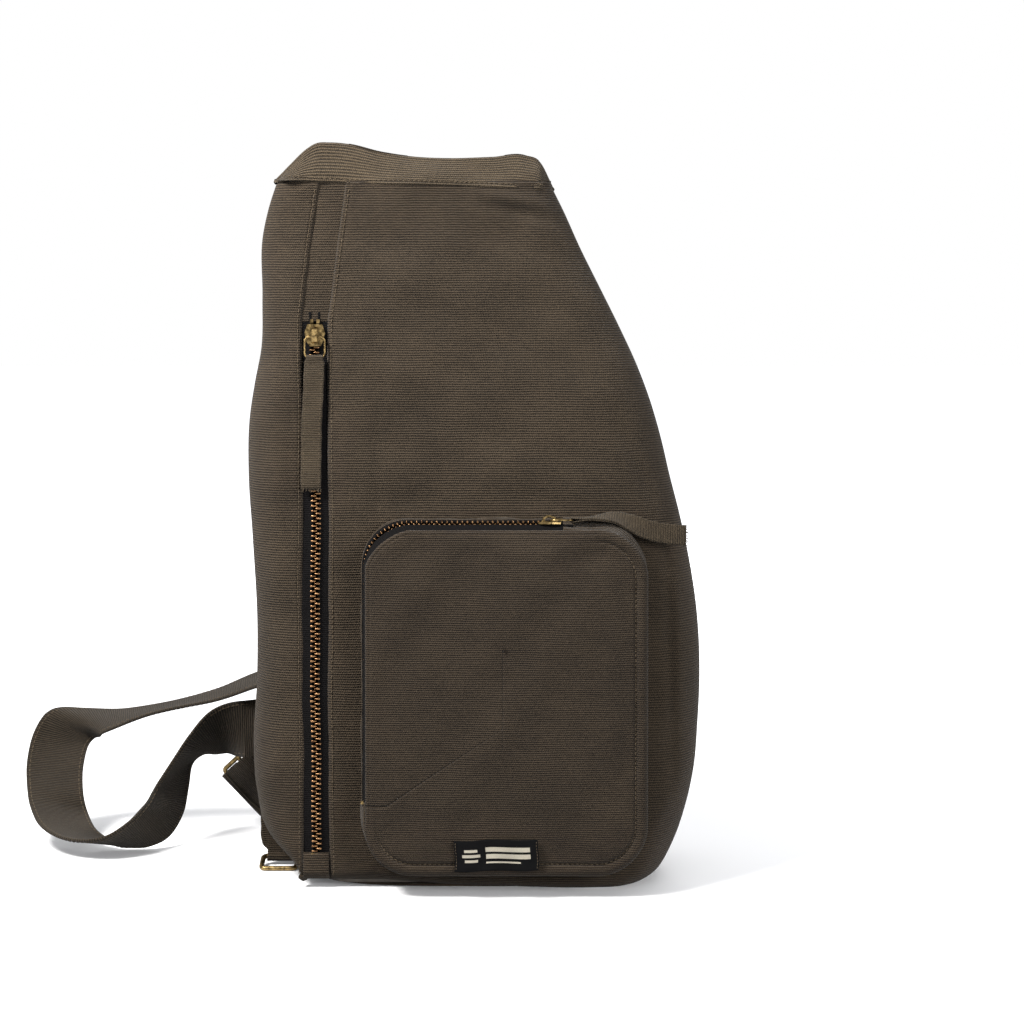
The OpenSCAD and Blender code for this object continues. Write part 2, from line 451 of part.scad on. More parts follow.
// ---- hardware of the strap ----
// Turns x along d and y along e, for two directions at right angles
module along(c, d, e) let (n = cross(d, e)) multmatrix([
    [d[0], e[0], n[0], c[0]], [d[1], e[1], n[1], c[1]], [d[2], e[2], n[2], c[2]], [0, 0, 0, 1]]) children();
module bar_frame(w, l, r, d) translate([0, l - d, 0]) wire_ring(w, l, r, d);
module tri_glide() color(brass_c) translate(glide_c) rotate([0, 47, 0]) rotate([90, 0, 0]) {
    bar_frame(strap_w + 2 * bar + 1, 2 * bar_step + bar, 2, bar);
    translate([-strap_w / 2 - bar / 2 - 0.5, bar_step, 0]) rotate([0, 90, 0]) cylinder(d = bar, h = strap_w + bar + 1, $fn = 24);
}
tab_bar = [-125.8 - fit_w, 8, 5.4];      // the left ring's bar in its tab
tab_w = 17;
tab_t = 1.5;
ring_left_w = 25.4;
ring_left_l = 20;
ring_left_dip = asin((tab_bar[2] - bar / 2) / (ring_left_l - bar));
module corner_ring_left() color(brass_c) translate(tab_bar) rotate([ring_left_dip, 0, 0]) wire_ring(ring_left_w, ring_left_l, 3, bar);
tab_hole = bar + 2 * gap;
module tab_loop(w) difference() {
    cylinder(d = tab_hole + 2 * tab_t, h = w, center = true, $fn = 32);
    cylinder(d = tab_hole, h = w + 1, center = true, $fn = 32);
}
module corner_tab_left() color(canvas_c) translate(tab_bar) {
    rotate([0, 90, 0]) tab_loop(tab_w);
    translate([0, tab_t, 0]) rotate([90, 0, 0]) linear_extrude(2 * tab_t)
        polygon([[-12.2, 31.6], [-8.8, 27.6], [-5.8, 18.4], [3.6, 8.8], [8.5, 4.2], [8.5, 2.9], [-8.5, 2.9], [-8.5, 4.6], [-12.2, 8]]);
}
right_tab_bar = ring_bar + [17.4, 0, 0];
ring_right_l = norm(ring_bar - right_tab_bar) + bar;
module corner_ring_right() color(brass_c) along(right_tab_bar, [0, 0, 1], [1, 0, 0]) wire_ring(strap_w + 2 * bar + 3, ring_right_l, 3, bar);
module corner_tab_right() color(canvas_c) translate(right_tab_bar) {
    tab_loop(30);
    rotate([0, 0, -62]) translate([tab_hole / 2 + 0.6, -tab_t, -15]) cube([17, 2 * tab_t, 30]);
}

base_panel();
base_board();
back_panel();
front_left_panel();
front_main_panel();
zip_header_strip();
zip_foot_tab();
top_band();
lining_front();
lining_back();
back_foam();
main_zip_tape_left();
main_zip_tape_right();
main_zip_teeth_left();
main_zip_teeth_right();
main_zip_top_stops();
main_zip_bottom_stop();
main_zip_slider();
main_zip_ring();
main_zip_pull();
pocket_rear_gusset();
pocket_side_gusset();
pocket_zip_tape_rear();
pocket_zip_tape_front();
pocket_zip_teeth_rear();
pocket_zip_teeth_front();
pocket_zip_stops();
pocket_front_panel();
pocket_lip();
pocket_zip_slider();
pocket_zip_ring();
pocket_zip_pull();
label();
strap();
strap_turn();
strap_lower();
strap_anchor_patch();
tri_glide();
corner_tab_left();
corner_tab_right();
corner_ring_left();
corner_ring_right();
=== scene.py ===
# %% [markdown]
# # A canvas sling bag
# The bag is cut from one heavy cotton canvas, closed with a long brass zip, and stands on a boxed
# base. Each cell below makes one piece of it as a surface worked out with numpy, in millimetres,
# and the last cells set the light. A CAD frame gives every place, so nothing has to be fitted.

# %% The frame
import math

import bpy
import numpy as np
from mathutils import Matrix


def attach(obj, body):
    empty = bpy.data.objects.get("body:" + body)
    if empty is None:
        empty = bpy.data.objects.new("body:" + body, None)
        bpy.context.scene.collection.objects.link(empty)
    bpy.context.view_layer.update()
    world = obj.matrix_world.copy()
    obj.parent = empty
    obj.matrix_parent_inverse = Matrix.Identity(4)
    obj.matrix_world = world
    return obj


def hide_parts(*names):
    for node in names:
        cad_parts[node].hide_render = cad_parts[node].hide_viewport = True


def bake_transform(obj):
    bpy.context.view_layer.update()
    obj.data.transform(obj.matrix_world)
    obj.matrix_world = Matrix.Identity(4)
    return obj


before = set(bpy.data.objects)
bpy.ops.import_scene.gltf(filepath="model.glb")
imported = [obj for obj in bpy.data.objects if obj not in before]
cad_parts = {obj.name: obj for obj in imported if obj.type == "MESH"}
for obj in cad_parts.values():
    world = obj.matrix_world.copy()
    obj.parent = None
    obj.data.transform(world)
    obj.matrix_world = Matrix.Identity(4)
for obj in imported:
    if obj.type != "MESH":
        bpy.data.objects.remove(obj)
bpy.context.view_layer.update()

# %% [markdown]
# ## Camera
# A product is seen at its plainest from a little above the table through a long lens, so that
# upright lines stay nearly upright. The camera looks along +Y, six and a half degrees down, at a
# point on the bag's front.

# %% Camera
LENS = 85.0
CAMERA_DISTANCE = 1500.0
CAMERA_DROP = math.radians(6.5)
CAMERA_AIM = np.array([23.0, -24.0, 232.0])


def make_camera():
    data = bpy.data.cameras.new("camera")
    data.lens = LENS
    data.sensor_width = 36.0
    data.clip_end = 50.0
    camera = bpy.data.objects.new("camera", data)
    bpy.context.scene.collection.objects.link(camera)
    back = np.array([0.0, -math.cos(CAMERA_DROP), math.sin(CAMERA_DROP)])
    camera.location = (CAMERA_AIM + back * CAMERA_DISTANCE) / 1000.0
    camera.rotation_euler = (math.pi / 2 - CAMERA_DROP, 0.0, 0.0)
    bpy.context.scene.camera = camera


make_camera()

# %% [markdown]
# ## Making a mesh from arrays
# Every cloth piece is a grid of points, rows by columns. The same helper turns a grid into a mesh
# and writes a UV map in millimetres of cloth, so a weave keeps its real scale on every piece.

# %% Grid helper
def link(obj):
    bpy.context.scene.collection.objects.link(obj)
    return obj


def finish_piece(obj, material, body, nodes=()):
    """The piece gets its finish, rides on its body and stands for its CAD nodes."""
    obj.data.materials.append(material)
    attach(obj, body)
    if nodes:
        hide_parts(*nodes)
    return obj


def grid_object(name, points, closed=False, uv=None, flip=False):
    """A sheet through points[row, column] in mm; closed joins the last column to the first."""
    rows, cols = points.shape[:2]
    index = np.arange(rows * cols).reshape(rows, cols)
    right = np.roll(index, -1, axis=1) if closed else index[:, 1:]
    left = index if closed else index[:, :-1]
    quads = np.stack([left[:-1], right[:-1], right[1:], left[1:]], axis=-1).reshape(-1, 4)
    if flip:
        quads = quads[:, ::-1]
    if uv is None:
        step_u = np.linalg.norm(np.diff(points, axis=1), axis=2).mean(axis=0)
        step_v = np.linalg.norm(np.diff(points, axis=0), axis=2).mean(axis=1)
        u = np.concatenate([[0.0], np.cumsum(step_u)])
        v = np.concatenate([[0.0], np.cumsum(step_v)])
        uv = np.stack(np.meshgrid(u, v), axis=-1)
    mesh = bpy.data.meshes.new(name)
    mesh.from_pydata((points.reshape(-1, 3) / 1000.0).tolist(), [], quads.tolist())
    layer = mesh.uv_layers.new(name="cloth")
    corner = np.empty(len(mesh.loops), dtype=np.int32)
    mesh.loops.foreach_get("vertex_index", corner)
    layer.data.foreach_set("uv", (uv.reshape(-1, 2)[corner] / 1000.0).ravel())
    mesh.polygons.foreach_set("use_smooth", np.ones(len(mesh.polygons), dtype=bool))
    mesh.update()
    return link(bpy.data.objects.new(name, mesh))


def thicken(obj, thickness, offset=-1.0):
    """Cloth has a thickness: Solidify gives the sheet its second face and its edges."""
    solid = obj.modifiers.new("cloth thickness", "SOLIDIFY")
    solid.thickness = thickness / 1000.0
    solid.offset = offset
    return obj


def copies(name, verts, faces, frames):
    """One small solid, repeated at every 3x4 frame (three axes and a place, in mm)."""
    verts = np.asarray(verts, float)
    frames = np.asarray(frames, float)
    placed = np.einsum("nij,vj->nvi", frames[:, :, :3], verts) + frames[:, None, :, 3]
    count = len(verts)
    all_faces = [[v + count * k for v in f] for k in range(len(frames)) for f in faces]
    mesh = bpy.data.meshes.new(name)
    mesh.from_pydata((placed.reshape(-1, 3) / 1000.0).tolist(), [], all_faces)
    mesh.polygons.foreach_set("use_smooth", np.ones(len(mesh.polygons), dtype=bool))
    mesh.update()
    return link(bpy.data.objects.new(name, mesh))


def capsule(sides=6, rings=5):
    """A rounded bar of length 1 along x and radius 1/2 across: rings of points that swell and close."""
    t = np.linspace(-0.5, 0.5, rings)
    radius = 0.5 * np.sqrt(np.clip(1 - (np.abs(t) / 0.5) ** 3, 0.12, 1))
    angle = np.arange(sides) * 2 * np.pi / sides
    verts = np.stack([np.repeat(t, sides), np.outer(radius, np.cos(angle)).ravel(),
                      np.outer(radius, np.sin(angle)).ravel()], axis=1)
    faces = [[r * sides + k, (r + 1) * sides + k, (r + 1) * sides + (k + 1) % sides,
              r * sides + (k + 1) % sides]
             for r in range(rings - 1) for k in range(sides)]
    faces.append(list(range(sides)))
    faces.append([(rings - 1) * sides + k for k in reversed(range(sides))])
    return verts, faces


# %% [markdown]
# ## Canvas and the other finishes
# Heavy cotton canvas is a plain weave with a fat filling yarn: matt, with ribs about a millimetre
# apart and soft mottling where the dye took unevenly. The weave is drawn a little coarser than the
# yarn so that it shows. It is a bump and a faint colour change, on UV coordinates in metres.

# %% Materials
def linear(code):
    """An sRGB hex value as linear colour."""
    parts = [int(code[i:i + 2], 16) / 255.0 for i in (1, 3, 5)]
    return [p / 12.92 if p <= 0.04045 else ((p + 0.055) / 1.055) ** 2.4 for p in parts] + [1.0]


def node(tree, kind, settings=None, links=None):
    """Adds one node; settings are socket values or properties, links are socket: source output."""
    made = tree.nodes.new(kind)
    for key, value in (settings or {}).items():
        if isinstance(key, str) and hasattr(made, key):
            setattr(made, key, value)
        else:
            made.inputs[key].default_value = value
    for key, source in (links or {}).items():
        tree.links.new(source, made.inputs[key])
    return made


def ramp(tree, source, low, high, a="#000000", b="#ffffff"):
    """A colour ramp from a to b between two factors."""
    made = node(tree, "ShaderNodeValToRGB", {}, {"Fac": source})
    made.color_ramp.elements[0].position = low
    made.color_ramp.elements[0].color = linear(a)
    made.color_ramp.elements[1].position = high
    made.color_ramp.elements[1].color = linear(b)
    return made.outputs["Color"]


def new_material(name, roughness, metallic=0.0):
    material = bpy.data.materials.new(name)
    material.use_nodes = True
    tree = material.node_tree
    shader = tree.nodes["Principled BSDF"]
    shader.inputs["Roughness"].default_value = roughness
    shader.inputs["Metallic"].default_value = metallic
    return material, tree, shader


def math_node(tree, operation, a, b=None):
    made = node(tree, "ShaderNodeMath", {"operation": operation})
    for socket, value in ((0, a), (1, b)):
        if isinstance(value, (int, float)):
            made.inputs[socket].default_value = value
        elif value is not None:
            tree.links.new(value, made.inputs[socket])
    return made.outputs[0]


def woven(name, dark, light, rib_mm, yarn_mm, depth_mm, roughness=0.92, sheen=0.06, mottle=1.0):
    """A plain weave: fat ribs across v every rib_mm, crossed by fine yarns every yarn_mm along u."""
    material, tree, shader = new_material(name, roughness)
    shader.inputs["Specular IOR Level"].default_value = 0.12
    shader.inputs["Sheen Weight"].default_value = sheen
    shader.inputs["Sheen Roughness"].default_value = 0.6
    uv = node(tree, "ShaderNodeUVMap", {"uv_map": "cloth"})
    wobble = node(tree, "ShaderNodeTexNoise", {"Scale": 45.0, "Detail": 1.0}, {"Vector": uv.outputs[0]})
    split = node(tree, "ShaderNodeSeparateXYZ", {}, {0: uv.outputs[0]})
    shift = math_node(tree, "MULTIPLY", math_node(tree, "SUBTRACT", wobble.outputs["Fac"], 0.5), 0.0009)
    v = math_node(tree, "ADD", split.outputs["Y"], shift)
    u = math_node(tree, "ADD", split.outputs["X"], shift)
    ribs = math_node(tree, "SINE", math_node(tree, "MULTIPLY", v, 2000 * math.pi / rib_mm))
    yarns = math_node(tree, "SINE", math_node(tree, "MULTIPLY", u, 2000 * math.pi / yarn_mm))
    # the yarns go over one rib and under the next, so their sign turns every half rib
    half = math_node(tree, "SINE", math_node(tree, "MULTIPLY", v, 1000 * math.pi / rib_mm))
    cross = math_node(tree, "MULTIPLY", yarns, half)
    weave = math_node(tree, "ADD", math_node(tree, "MULTIPLY", ribs, 0.6),
                      math_node(tree, "MULTIPLY", cross, 0.3))
    slubs = node(tree, "ShaderNodeMapping", {"Scale": (120.0, 900.0, 1.0)}, {"Vector": uv.outputs[0]})
    slub = node(tree, "ShaderNodeTexNoise", {"Scale": 1.0, "Detail": 3.0}, {"Vector": slubs.outputs[0]})
    blotch = node(tree, "ShaderNodeTexNoise", {"Scale": 26.0, "Detail": 6.0, "Roughness": 0.62},
                  {"Vector": uv.outputs[0]})
    grain = node(tree, "ShaderNodeTexNoise", {"Scale": 700.0, "Detail": 2.0}, {"Vector": uv.outputs[0]})
    factor = math_node(tree, "ADD", math_node(tree, "MULTIPLY", weave, 0.36),
                       math_node(tree, "MULTIPLY", slub.outputs["Fac"], 0.30))
    factor = math_node(tree, "ADD", factor, math_node(tree, "MULTIPLY", blotch.outputs["Fac"], 0.35 * mottle))
    factor = math_node(tree, "ADD", factor, math_node(tree, "MULTIPLY", grain.outputs["Fac"], 0.35))
    colour = ramp(tree, factor, 0.24, 0.78, dark, light)
    tree.links.new(colour, shader.inputs["Base Color"])
    height = math_node(tree, "ADD", weave, math_node(tree, "MULTIPLY", grain.outputs["Fac"], 0.9))
    height = math_node(tree, "ADD", height, math_node(tree, "MULTIPLY", slub.outputs["Fac"], 0.8))
    bump = node(tree, "ShaderNodeBump", {"Strength": 1.0, "Distance": depth_mm * 0.95 / 1000.0},
                {"Height": height})
    tree.links.new(bump.outputs[0], shader.inputs["Normal"])
    return material


BODY_CANVAS = woven("ribbed cotton canvas", "#17120c", "#463b2e", 1.55, 1.2, 0.36)
POCKET_CANVAS = woven("finer cotton canvas", "#150f0a", "#3d3327", 1.35, 1.35, 0.36)
# The band is the body canvas in lighter colours: a painted highlight for the top of the bag, where more of
# the light from above falls.
BAND_CANVAS_PAINTED_HIGHLIGHT = woven("folded canvas band, painted highlight", "#1d1812", "#544838", 1.55, 1.2, 0.36)
STRAP_CANVAS = woven("strap canvas", "#13100b", "#3a3126", 1.3, 0.9, 0.36)
TAB_CANVAS = woven("pull tab canvas", "#1c1710", "#4e4334", 1.1, 0.9, 0.32)
ZIP_TAPE = woven("black zip tape", "#020202", "#100e0f", 1.2, 0.9, 0.2, roughness=0.95, sheen=0.0)
LINING_CLOTH = woven("cotton lining", "#332d26", "#5d5449", 0.7, 0.7, 0.1)
THREAD = woven("sewing thread", "#2e261c", "#6b5c48", 0.5, 0.5, 0.05, roughness=0.8)


def antique_brass(name, dark, light):
    """Brass that was darkened and then rubbed: brown in the hollows, pale where it is handled."""
    material, tree, shader = new_material(name, 0.4, 1.0)
    place = node(tree, "ShaderNodeTexCoord")
    patina = node(tree, "ShaderNodeTexNoise", {"Scale": 420.0, "Detail": 5.0},
                  {"Vector": place.outputs["Object"]})
    scratch = node(tree, "ShaderNodeTexNoise", {"Scale": 2600.0, "Detail": 2.0},
                   {"Vector": place.outputs["Object"]})
    tree.links.new(ramp(tree, patina.outputs["Fac"], 0.32, 0.68, dark, light), shader.inputs["Base Color"])
    rough = math_node(tree, "ADD", math_node(tree, "MULTIPLY", patina.outputs["Fac"], 0.3), 0.22)
    tree.links.new(rough, shader.inputs["Roughness"])
    bump = node(tree, "ShaderNodeBump", {"Strength": 0.25, "Distance": 0.00005},
                {"Height": scratch.outputs["Fac"]})
    tree.links.new(bump.outputs[0], shader.inputs["Normal"])
    return material


BRASS = antique_brass("antique brass", "#3d311d", "#a38b5e")
TEETH_BRASS = antique_brass("tarnished brass", "#4a3424", "#93714f")


def plain(name, colour, roughness, scale=300.0):
    """A moulded or foamed finish: one colour with a fine grain."""
    material, tree, shader = new_material(name, roughness)
    place = node(tree, "ShaderNodeTexCoord")
    grain = node(tree, "ShaderNodeTexNoise", {"Scale": scale, "Detail": 4.0},
                 {"Vector": place.outputs["Object"]})
    shade = "#" + "".join(f"{int(int(colour[i:i + 2], 16) * 0.8):02x}" for i in (1, 3, 5))
    tree.links.new(ramp(tree, grain.outputs["Fac"], 0.3, 0.7, shade, colour), shader.inputs["Base Color"])
    bump = node(tree, "ShaderNodeBump", {"Strength": 0.3, "Distance": 0.0003},
                {"Height": grain.outputs["Fac"]})
    tree.links.new(bump.outputs[0], shader.inputs["Normal"])
    return material


BOARD = plain("base board", "#4d463e", 0.7, 300.0)

# %% [markdown]
# ## The shape of the body
# The body is a front and a back sheet that meet in side seams. Its outline comes from a few heights
# with a smooth curve through them, the front is a plane that leans back, and each side turns into
# the seam on a quarter ellipse. Everything else on the front is placed on the same plane.

# %% Shape of the body
def curve(knots, values, at):
    """A smooth curve through (knot, value) pairs: cubic pieces with slopes from the neighbours."""
    knots = np.asarray(knots, float)
    values = np.asarray(values, float)
    slope = np.gradient(values, knots)
    at = np.clip(at, knots[0], knots[-1])
    i = np.clip(np.searchsorted(knots, at, side="right") - 1, 0, len(knots) - 2)
    h = knots[i + 1] - knots[i]
    t = (at - knots[i]) / h
    return ((2 * t**3 - 3 * t**2 + 1) * values[i] + (t**3 - 2 * t**2 + t) * h * slope[i]
            + (3 * t**2 - 2 * t**3) * values[i + 1] + (t**3 - t**2) * h * slope[i + 1])


LEAN = math.radians(5.0)
FRONT_Y = -52.0
BODY_TOP = 433.0
LEFT_Z = [0, 8, 24, 52, 80, 125, 160, 216, 253, 290, 312, 332, 365, 402, 420, 438]
LEFT_X = [105, 113, 130.5, 139, 141, 138.5, 138, 140.5, 142.5, 141.5, 138, 134, 133, 132.5, 128.5, 122.5]
RIGHT_Z = [0, 10, 24, 42, 67, 98, 123, 172, 203, 228, 253, 278, 300, 320, 346, 371, 396, 417, 433]
RIGHT_X = [113, 120, 127, 133, 138.5, 141, 142, 139.5, 134.5, 129, 122.5, 116.5, 110, 102.5, 90.5, 78, 65.5,
           56, 48]
BACK_Z = [0, 60, 110, 180, 250, 320, 380, 410, 433]
BACK_Y = [48, 51, 52, 50, 45, 38, 29, 20, 12]


def left_x(z):
    return -curve(LEFT_Z, LEFT_X, z)


def right_x(z):
    return curve(RIGHT_Z, RIGHT_X, z)


def front_y(z):
    return FRONT_Y + z * math.tan(LEAN)


def back_y(z):
    return curve(BACK_Z, BACK_Y, z)


def ripple(a, b, waves, seed):
    """A sum of plane waves over (a, b): one (wavelength, height) pair each, direction and phase seeded."""
    draw = np.random.default_rng(seed)
    total = np.zeros(np.broadcast(a, b).shape)
    for length, height in waves:
        angle = draw.uniform(0, np.pi)
        phase = draw.uniform(0, 2 * np.pi)
        total = total + height * np.sin((a * np.cos(angle) + b * np.sin(angle)) * 2 * np.pi / length + phase)
    return total


def bump_at(a, b, a0, b0, wide, high, angle=0.0):
    """A smooth mound of height 1 at (a0, b0), wide by high, turned by angle in degrees."""
    c, s = math.cos(math.radians(angle)), math.sin(math.radians(angle))
    p = ((a - a0) * c + (b - b0) * s) / wide
    q = (-(a - a0) * s + (b - b0) * c) / high
    return np.exp(-p**2 - q**2)


print("body", left_x(290.0), right_x(123.0), back_y(110.0))

# %% [markdown]
# ## Front and back panels
# Real canvas is never flat: it ripples softly, puckers beside every line of stitching, and pulls in
# along its seams. A simulated cloth would find such folds by itself, but here they are few and
# their places are known, so they are added as mounds and waves along the sheet's normal.

# %% Front and back panels
ZIP_X = -98.4
ZIP_GAP = 15.6
ZIP_LOW = 19.0
ZIP_HIGH = 353.0
HEADER_SHIFT = 10.5
ROUND_LEFT = 27.0
SEAM_DIP = 1.6


def lean_in(z):
    """How far the strip above the zip leans towards the middle of the bag."""
    top = ZIP_HIGH * math.cos(LEAN)
    return HEADER_SHIFT * np.clip((z - top) / (BODY_TOP - top), 0, 1)


def zip_edge(z, side):
    """The canvas edge beside the zip, with the slight waver of a hand-fed seam."""
    waver = 0.35 * np.sin(z / 31.0 + side) + 0.2 * np.sin(z / 11.0)
    return ZIP_X + side * ZIP_GAP / 2 + lean_in(z) + waver


def round_right(z):
    """The right side turns in on a wider curve low down, where the bag is full."""
    return curve([0, 60, 150, 250, 350, 433], [26, 34, 40, 40, 32, 22], z)


def round_base(z):
    """How far the walls draw in as they turn under to the base."""
    t = np.clip(1 - z / 9.0, 0, 1)
    return 7.0 * (1 - np.sqrt(1 - t**2 * 0.98))


def base_lift(x, z):
    """The filled bag tips a little to the right, so the left of its foot stands off the table."""
    share = np.clip((50.0 - x) / 150.0, 0, 1)
    return 5.0 * share * share * (3 - 2 * share) * np.exp(-z / 45.0)


def front_relief(x, z):
    """Softness of the front, in mm towards the viewer."""
    relief = ripple(x, z, [(210, 1.3), (150, 1.2), (96, .9), (61, .6), (43, .35), (29, .2), (17, .08)], 3)
    # above the pocket the canvas bulges, and it is drawn flat again under the band
    relief = relief + 2.4 * bump_at(x, z, 20, 300, 75, 70) - 1.5 * bump_at(x, z, 5, 240, 90, 14)
    # the gathered fold under the band, and the long soft creases of the full side
    relief = relief + 2.6 * bump_at(x, z, 26, 424, 22, 3.6,
                                    -10) - 1.8 * bump_at(x, z, 28, 416.5, 20, 3.2, -14)
    relief = relief + 1.2 * bump_at(x, z, 40, 408, 10, 12, 30)
    relief = relief - 1.9 * bump_at(x, z, 121, 150, 3.4, 80, 1.5) + 1.2 * bump_at(x, z, 127, 150, 5, 80, 1.5)
    relief = relief - 1.5 * bump_at(x, z, 100, 262, 4.5, 40, 24) + 1.0 * bump_at(x, z, 92, 262, 6, 40, 24)
    relief = relief - 1.4 * bump_at(x, z, -60, 120, 4.5, 150) + 0.8 * bump_at(x, z, -122, 200, 7, 120)
    relief = relief - 1.4 * bump_at(x, z, -118, 66, 8, 30, -24) + 1.0 * bump_at(x, z, -128, 40, 6, 22, 30)
    relief = relief + 1.3 * bump_at(x, z, 112, 40, 5, 26, -30) - 1.5 * bump_at(x, z, 118, 22, 4, 20, -36)
    relief = relief - 1.1 * bump_at(x, z, -116, 330, 5, 46, 6)
    # the zip and the pocket hold the cloth flat under their own seams
    beside = np.maximum(np.abs(x - 17.5) - 87.5, np.abs(z - 120.0) - 107.0)
    free = 0.12 + 0.88 * np.clip(beside / 14.0, 0, 1)
    return relief * free * (1 - 0.93 * np.exp(-(((x - ZIP_X - lean_in(z)) / 17.0) ** 2)))


def pucker(distance, along, seed, reach=7.0, height=0.35):
    """Short waves beside a stitch line that die away within reach."""
    waves = np.sin(along / 4.1 + seed) * 0.6 + np.sin(along / 2.7 + 2 * seed) * 0.4
    return height * waves * np.exp(-np.abs(distance) / reach)


def stitch_groove(distance, deep=0.55):
    """A row of stitches draws the cloth in along its line."""
    return deep * np.exp(-(distance / 0.7) ** 2)


def seam_pull(distance):
    """Both sheets draw in where they meet at the side seam."""
    return -SEAM_DIP * np.exp(-np.abs(distance) / 2.6)


def side_arc(angle, edge, depth, radius, sign):
    """A quarter of an ellipse from the flat front (angle 90) to the seam (angle 0)."""
    power = 2 / 2.25
    x = edge - sign * radius * (1 - np.cos(angle) ** power)
    return x, depth * np.sin(angle) ** power


def front_point(x, y, z, scale=1.0):
    relief = front_relief(x, z) * scale
    return np.stack([x, y - relief, z], axis=-1)


LEVELS = np.concatenate([np.linspace(0, 12, 9), np.linspace(14.5, BODY_TOP + 3, 170)])


def main_panel():
    """From the zip edge across the flat front and round to the right seam."""
    z = LEVELS[:, None]
    edge = right_x(z) - round_base(z)
    depth = front_y(z) + round_base(z)
    start = zip_edge(z, 1)
    flat_end = edge - round_right(z)
    flat = start + (flat_end - start) * np.linspace(0, 1, 84)[None, :]
    flat_y = depth + 0 * flat
    # the folded edge rolls in towards the tape
    from_edge = flat - start
    flat_y = flat_y + 1.3 * np.exp(-(from_edge / 0.9) ** 2)
    angle = np.linspace(np.pi / 2, 0, 36)[None, 1:]
    arc_x, arc_y = side_arc(angle, edge, depth, round_right(z), 1)
    x = np.concatenate([flat, arc_x], axis=1)
    y = np.concatenate([flat_y, arc_y], axis=1)
    points = front_point(x, y, z + 0 * x, np.clip(np.abs(y) / np.abs(depth) * 1.2 - 0.2, 0, 1))
    points[..., 1] -= pucker(x - start - 3.2, z + 0 * x, 1.0) - stitch_groove(x - start - 2.7)
    points[..., 2] += base_lift(x, z)
    points[..., 0] += seam_pull(y) * (x > flat_end)
    return points


def left_panel():
    """From the left seam round to the zip edge."""
    z = LEVELS[:, None]
    edge = left_x(z) + round_base(z)
    depth = front_y(z) + round_base(z)
    end = zip_edge(z, -1)
    angle = np.linspace(0, np.pi / 2, 30)[None, :-1]
    radius = np.minimum(ROUND_LEFT, end - edge - 1.5)
    arc_x, arc_y = side_arc(angle, edge, depth, radius, -1)
    flat_start = edge + radius
    flat = flat_start + (end - flat_start) * np.linspace(0, 1, 16)[None, :]
    flat_y = depth + 1.3 * np.exp(-((end - flat) / 0.9) ** 2)
    x = np.concatenate([arc_x, flat], axis=1)
    y = np.concatenate([arc_y, flat_y], axis=1)
    points = front_point(x, y, z + 0 * x, np.clip(np.abs(y) / np.abs(depth) * 1.2 - 0.2, 0, 1))
    points[..., 1] -= pucker(x - end + 3.2, z + 0 * x, 2.0) - stitch_groove(x - end + 2.7)
    points[..., 2] += base_lift(x, z)
    points[..., 0] -= seam_pull(y) * (x < flat_start)
    return points


def back_panel(inset=0.0, cols=110):
    """From the right seam round the back to the left seam, a padded sheet with soft waves."""
    z = LEVELS[:, None]
    right = right_x(z) - round_base(z) - inset
    left = left_x(z) + round_base(z) + inset
    depth = back_y(z) - round_base(z) - inset
    angle = np.linspace(0, np.pi / 2, 26)[None, :]
    x1, y1 = side_arc(angle, right, depth, 34.0, 1)
    x3, y3 = side_arc(angle[:, ::-1], left, depth, 28.0, -1)
    middle = (right - 34) + (left + 28 - right + 34) * np.linspace(0, 1, cols - 52)[None, 1:-1]
    x = np.concatenate([x1, middle, x3], axis=1)
    y = np.concatenate([y1, depth + 0 * middle, y3], axis=1)
    share = np.clip(y / depth * 1.2 - 0.2, 0, 1)
    relief = ripple(x, z, [(190, 1.2), (120, .8), (70, .4), (40, .2)], 11) * share
    points = np.stack([x, y + relief, z + 0 * x], axis=-1)
    pull = seam_pull(y)
    points[..., 0] += np.where(x > 0, pull, -pull) * (np.abs(y) < 20)
    return points


front_main = thicken(grid_object("front_main", main_panel()), 1.5)
finish_piece(front_main, BODY_CANVAS, "bag", ["front_main_panel"])
front_left = thicken(grid_object("front_left", left_panel()), 1.5)
finish_piece(front_left, BODY_CANVAS, "bag", ["front_left_panel"])
back = thicken(grid_object("back", back_panel()), 1.5)
finish_piece(back, BODY_CANVAS, "bag", ["back_panel", "back_foam"])
lining = grid_object("lining", back_panel(inset=4.0))
finish_piece(lining, LINING_CLOTH, "bag", ["lining_front", "lining_back"])
print("panels", len(front_main.data.vertices), len(back.data.vertices))

# %% [markdown]
# ## Base, header strip and top band
# The base is a flat board-backed panel. The strip above the zip continues the gap of the zip up to
# the band. The band is one folded piece: up the front, over a soft ridge and down the back.

# %% Base, header strip and top band
def base_sheet():
    """The base inside the drawn-in foot of the walls: rings of the outline shrunk to the middle."""
    angle = np.linspace(0, 2 * np.pi, 96, endpoint=False)[None, :]
    share = np.linspace(1, 0.02, 14)[:, None]
    power = 2 / 3.2
    x = 4 + 103.5 * np.sign(np.cos(angle)) * np.abs(np.cos(angle)) ** power * share
    y = -1 + 45.5 * np.sign(np.sin(angle)) * np.abs(np.sin(angle)) ** power * share
    z = 0.3 + 0.5 * (1 - share) * np.ones_like(x)
    return np.stack([x, y, z], axis=-1)


base = thicken(grid_object("base", base_sheet(), closed=True), 1.5, 1.0)
finish_piece(base, BODY_CANVAS, "bag", ["base_panel"])


def header_sheet():
    """Between the two canvas edges above the zip, a little behind them."""
    z = np.linspace(ZIP_HIGH * math.cos(LEAN) - 2, BODY_TOP + 3, 60)[:, None]
    u = np.linspace(0, 1, 12)[None, :]
    x = zip_edge(z, -1) - 1.5 + (zip_edge(z, 1) - zip_edge(z, -1) + 3.0) * u
    y = front_y(z) + 1.6 - front_relief(x, z)
    return np.stack([x, y - 0.5 * np.sin(np.pi * u), z + 0 * x], axis=-1)


header = thicken(grid_object("zip_header", header_sheet()), 1.2)
finish_piece(header, BODY_CANVAS, "bag", ["zip_header_strip"])

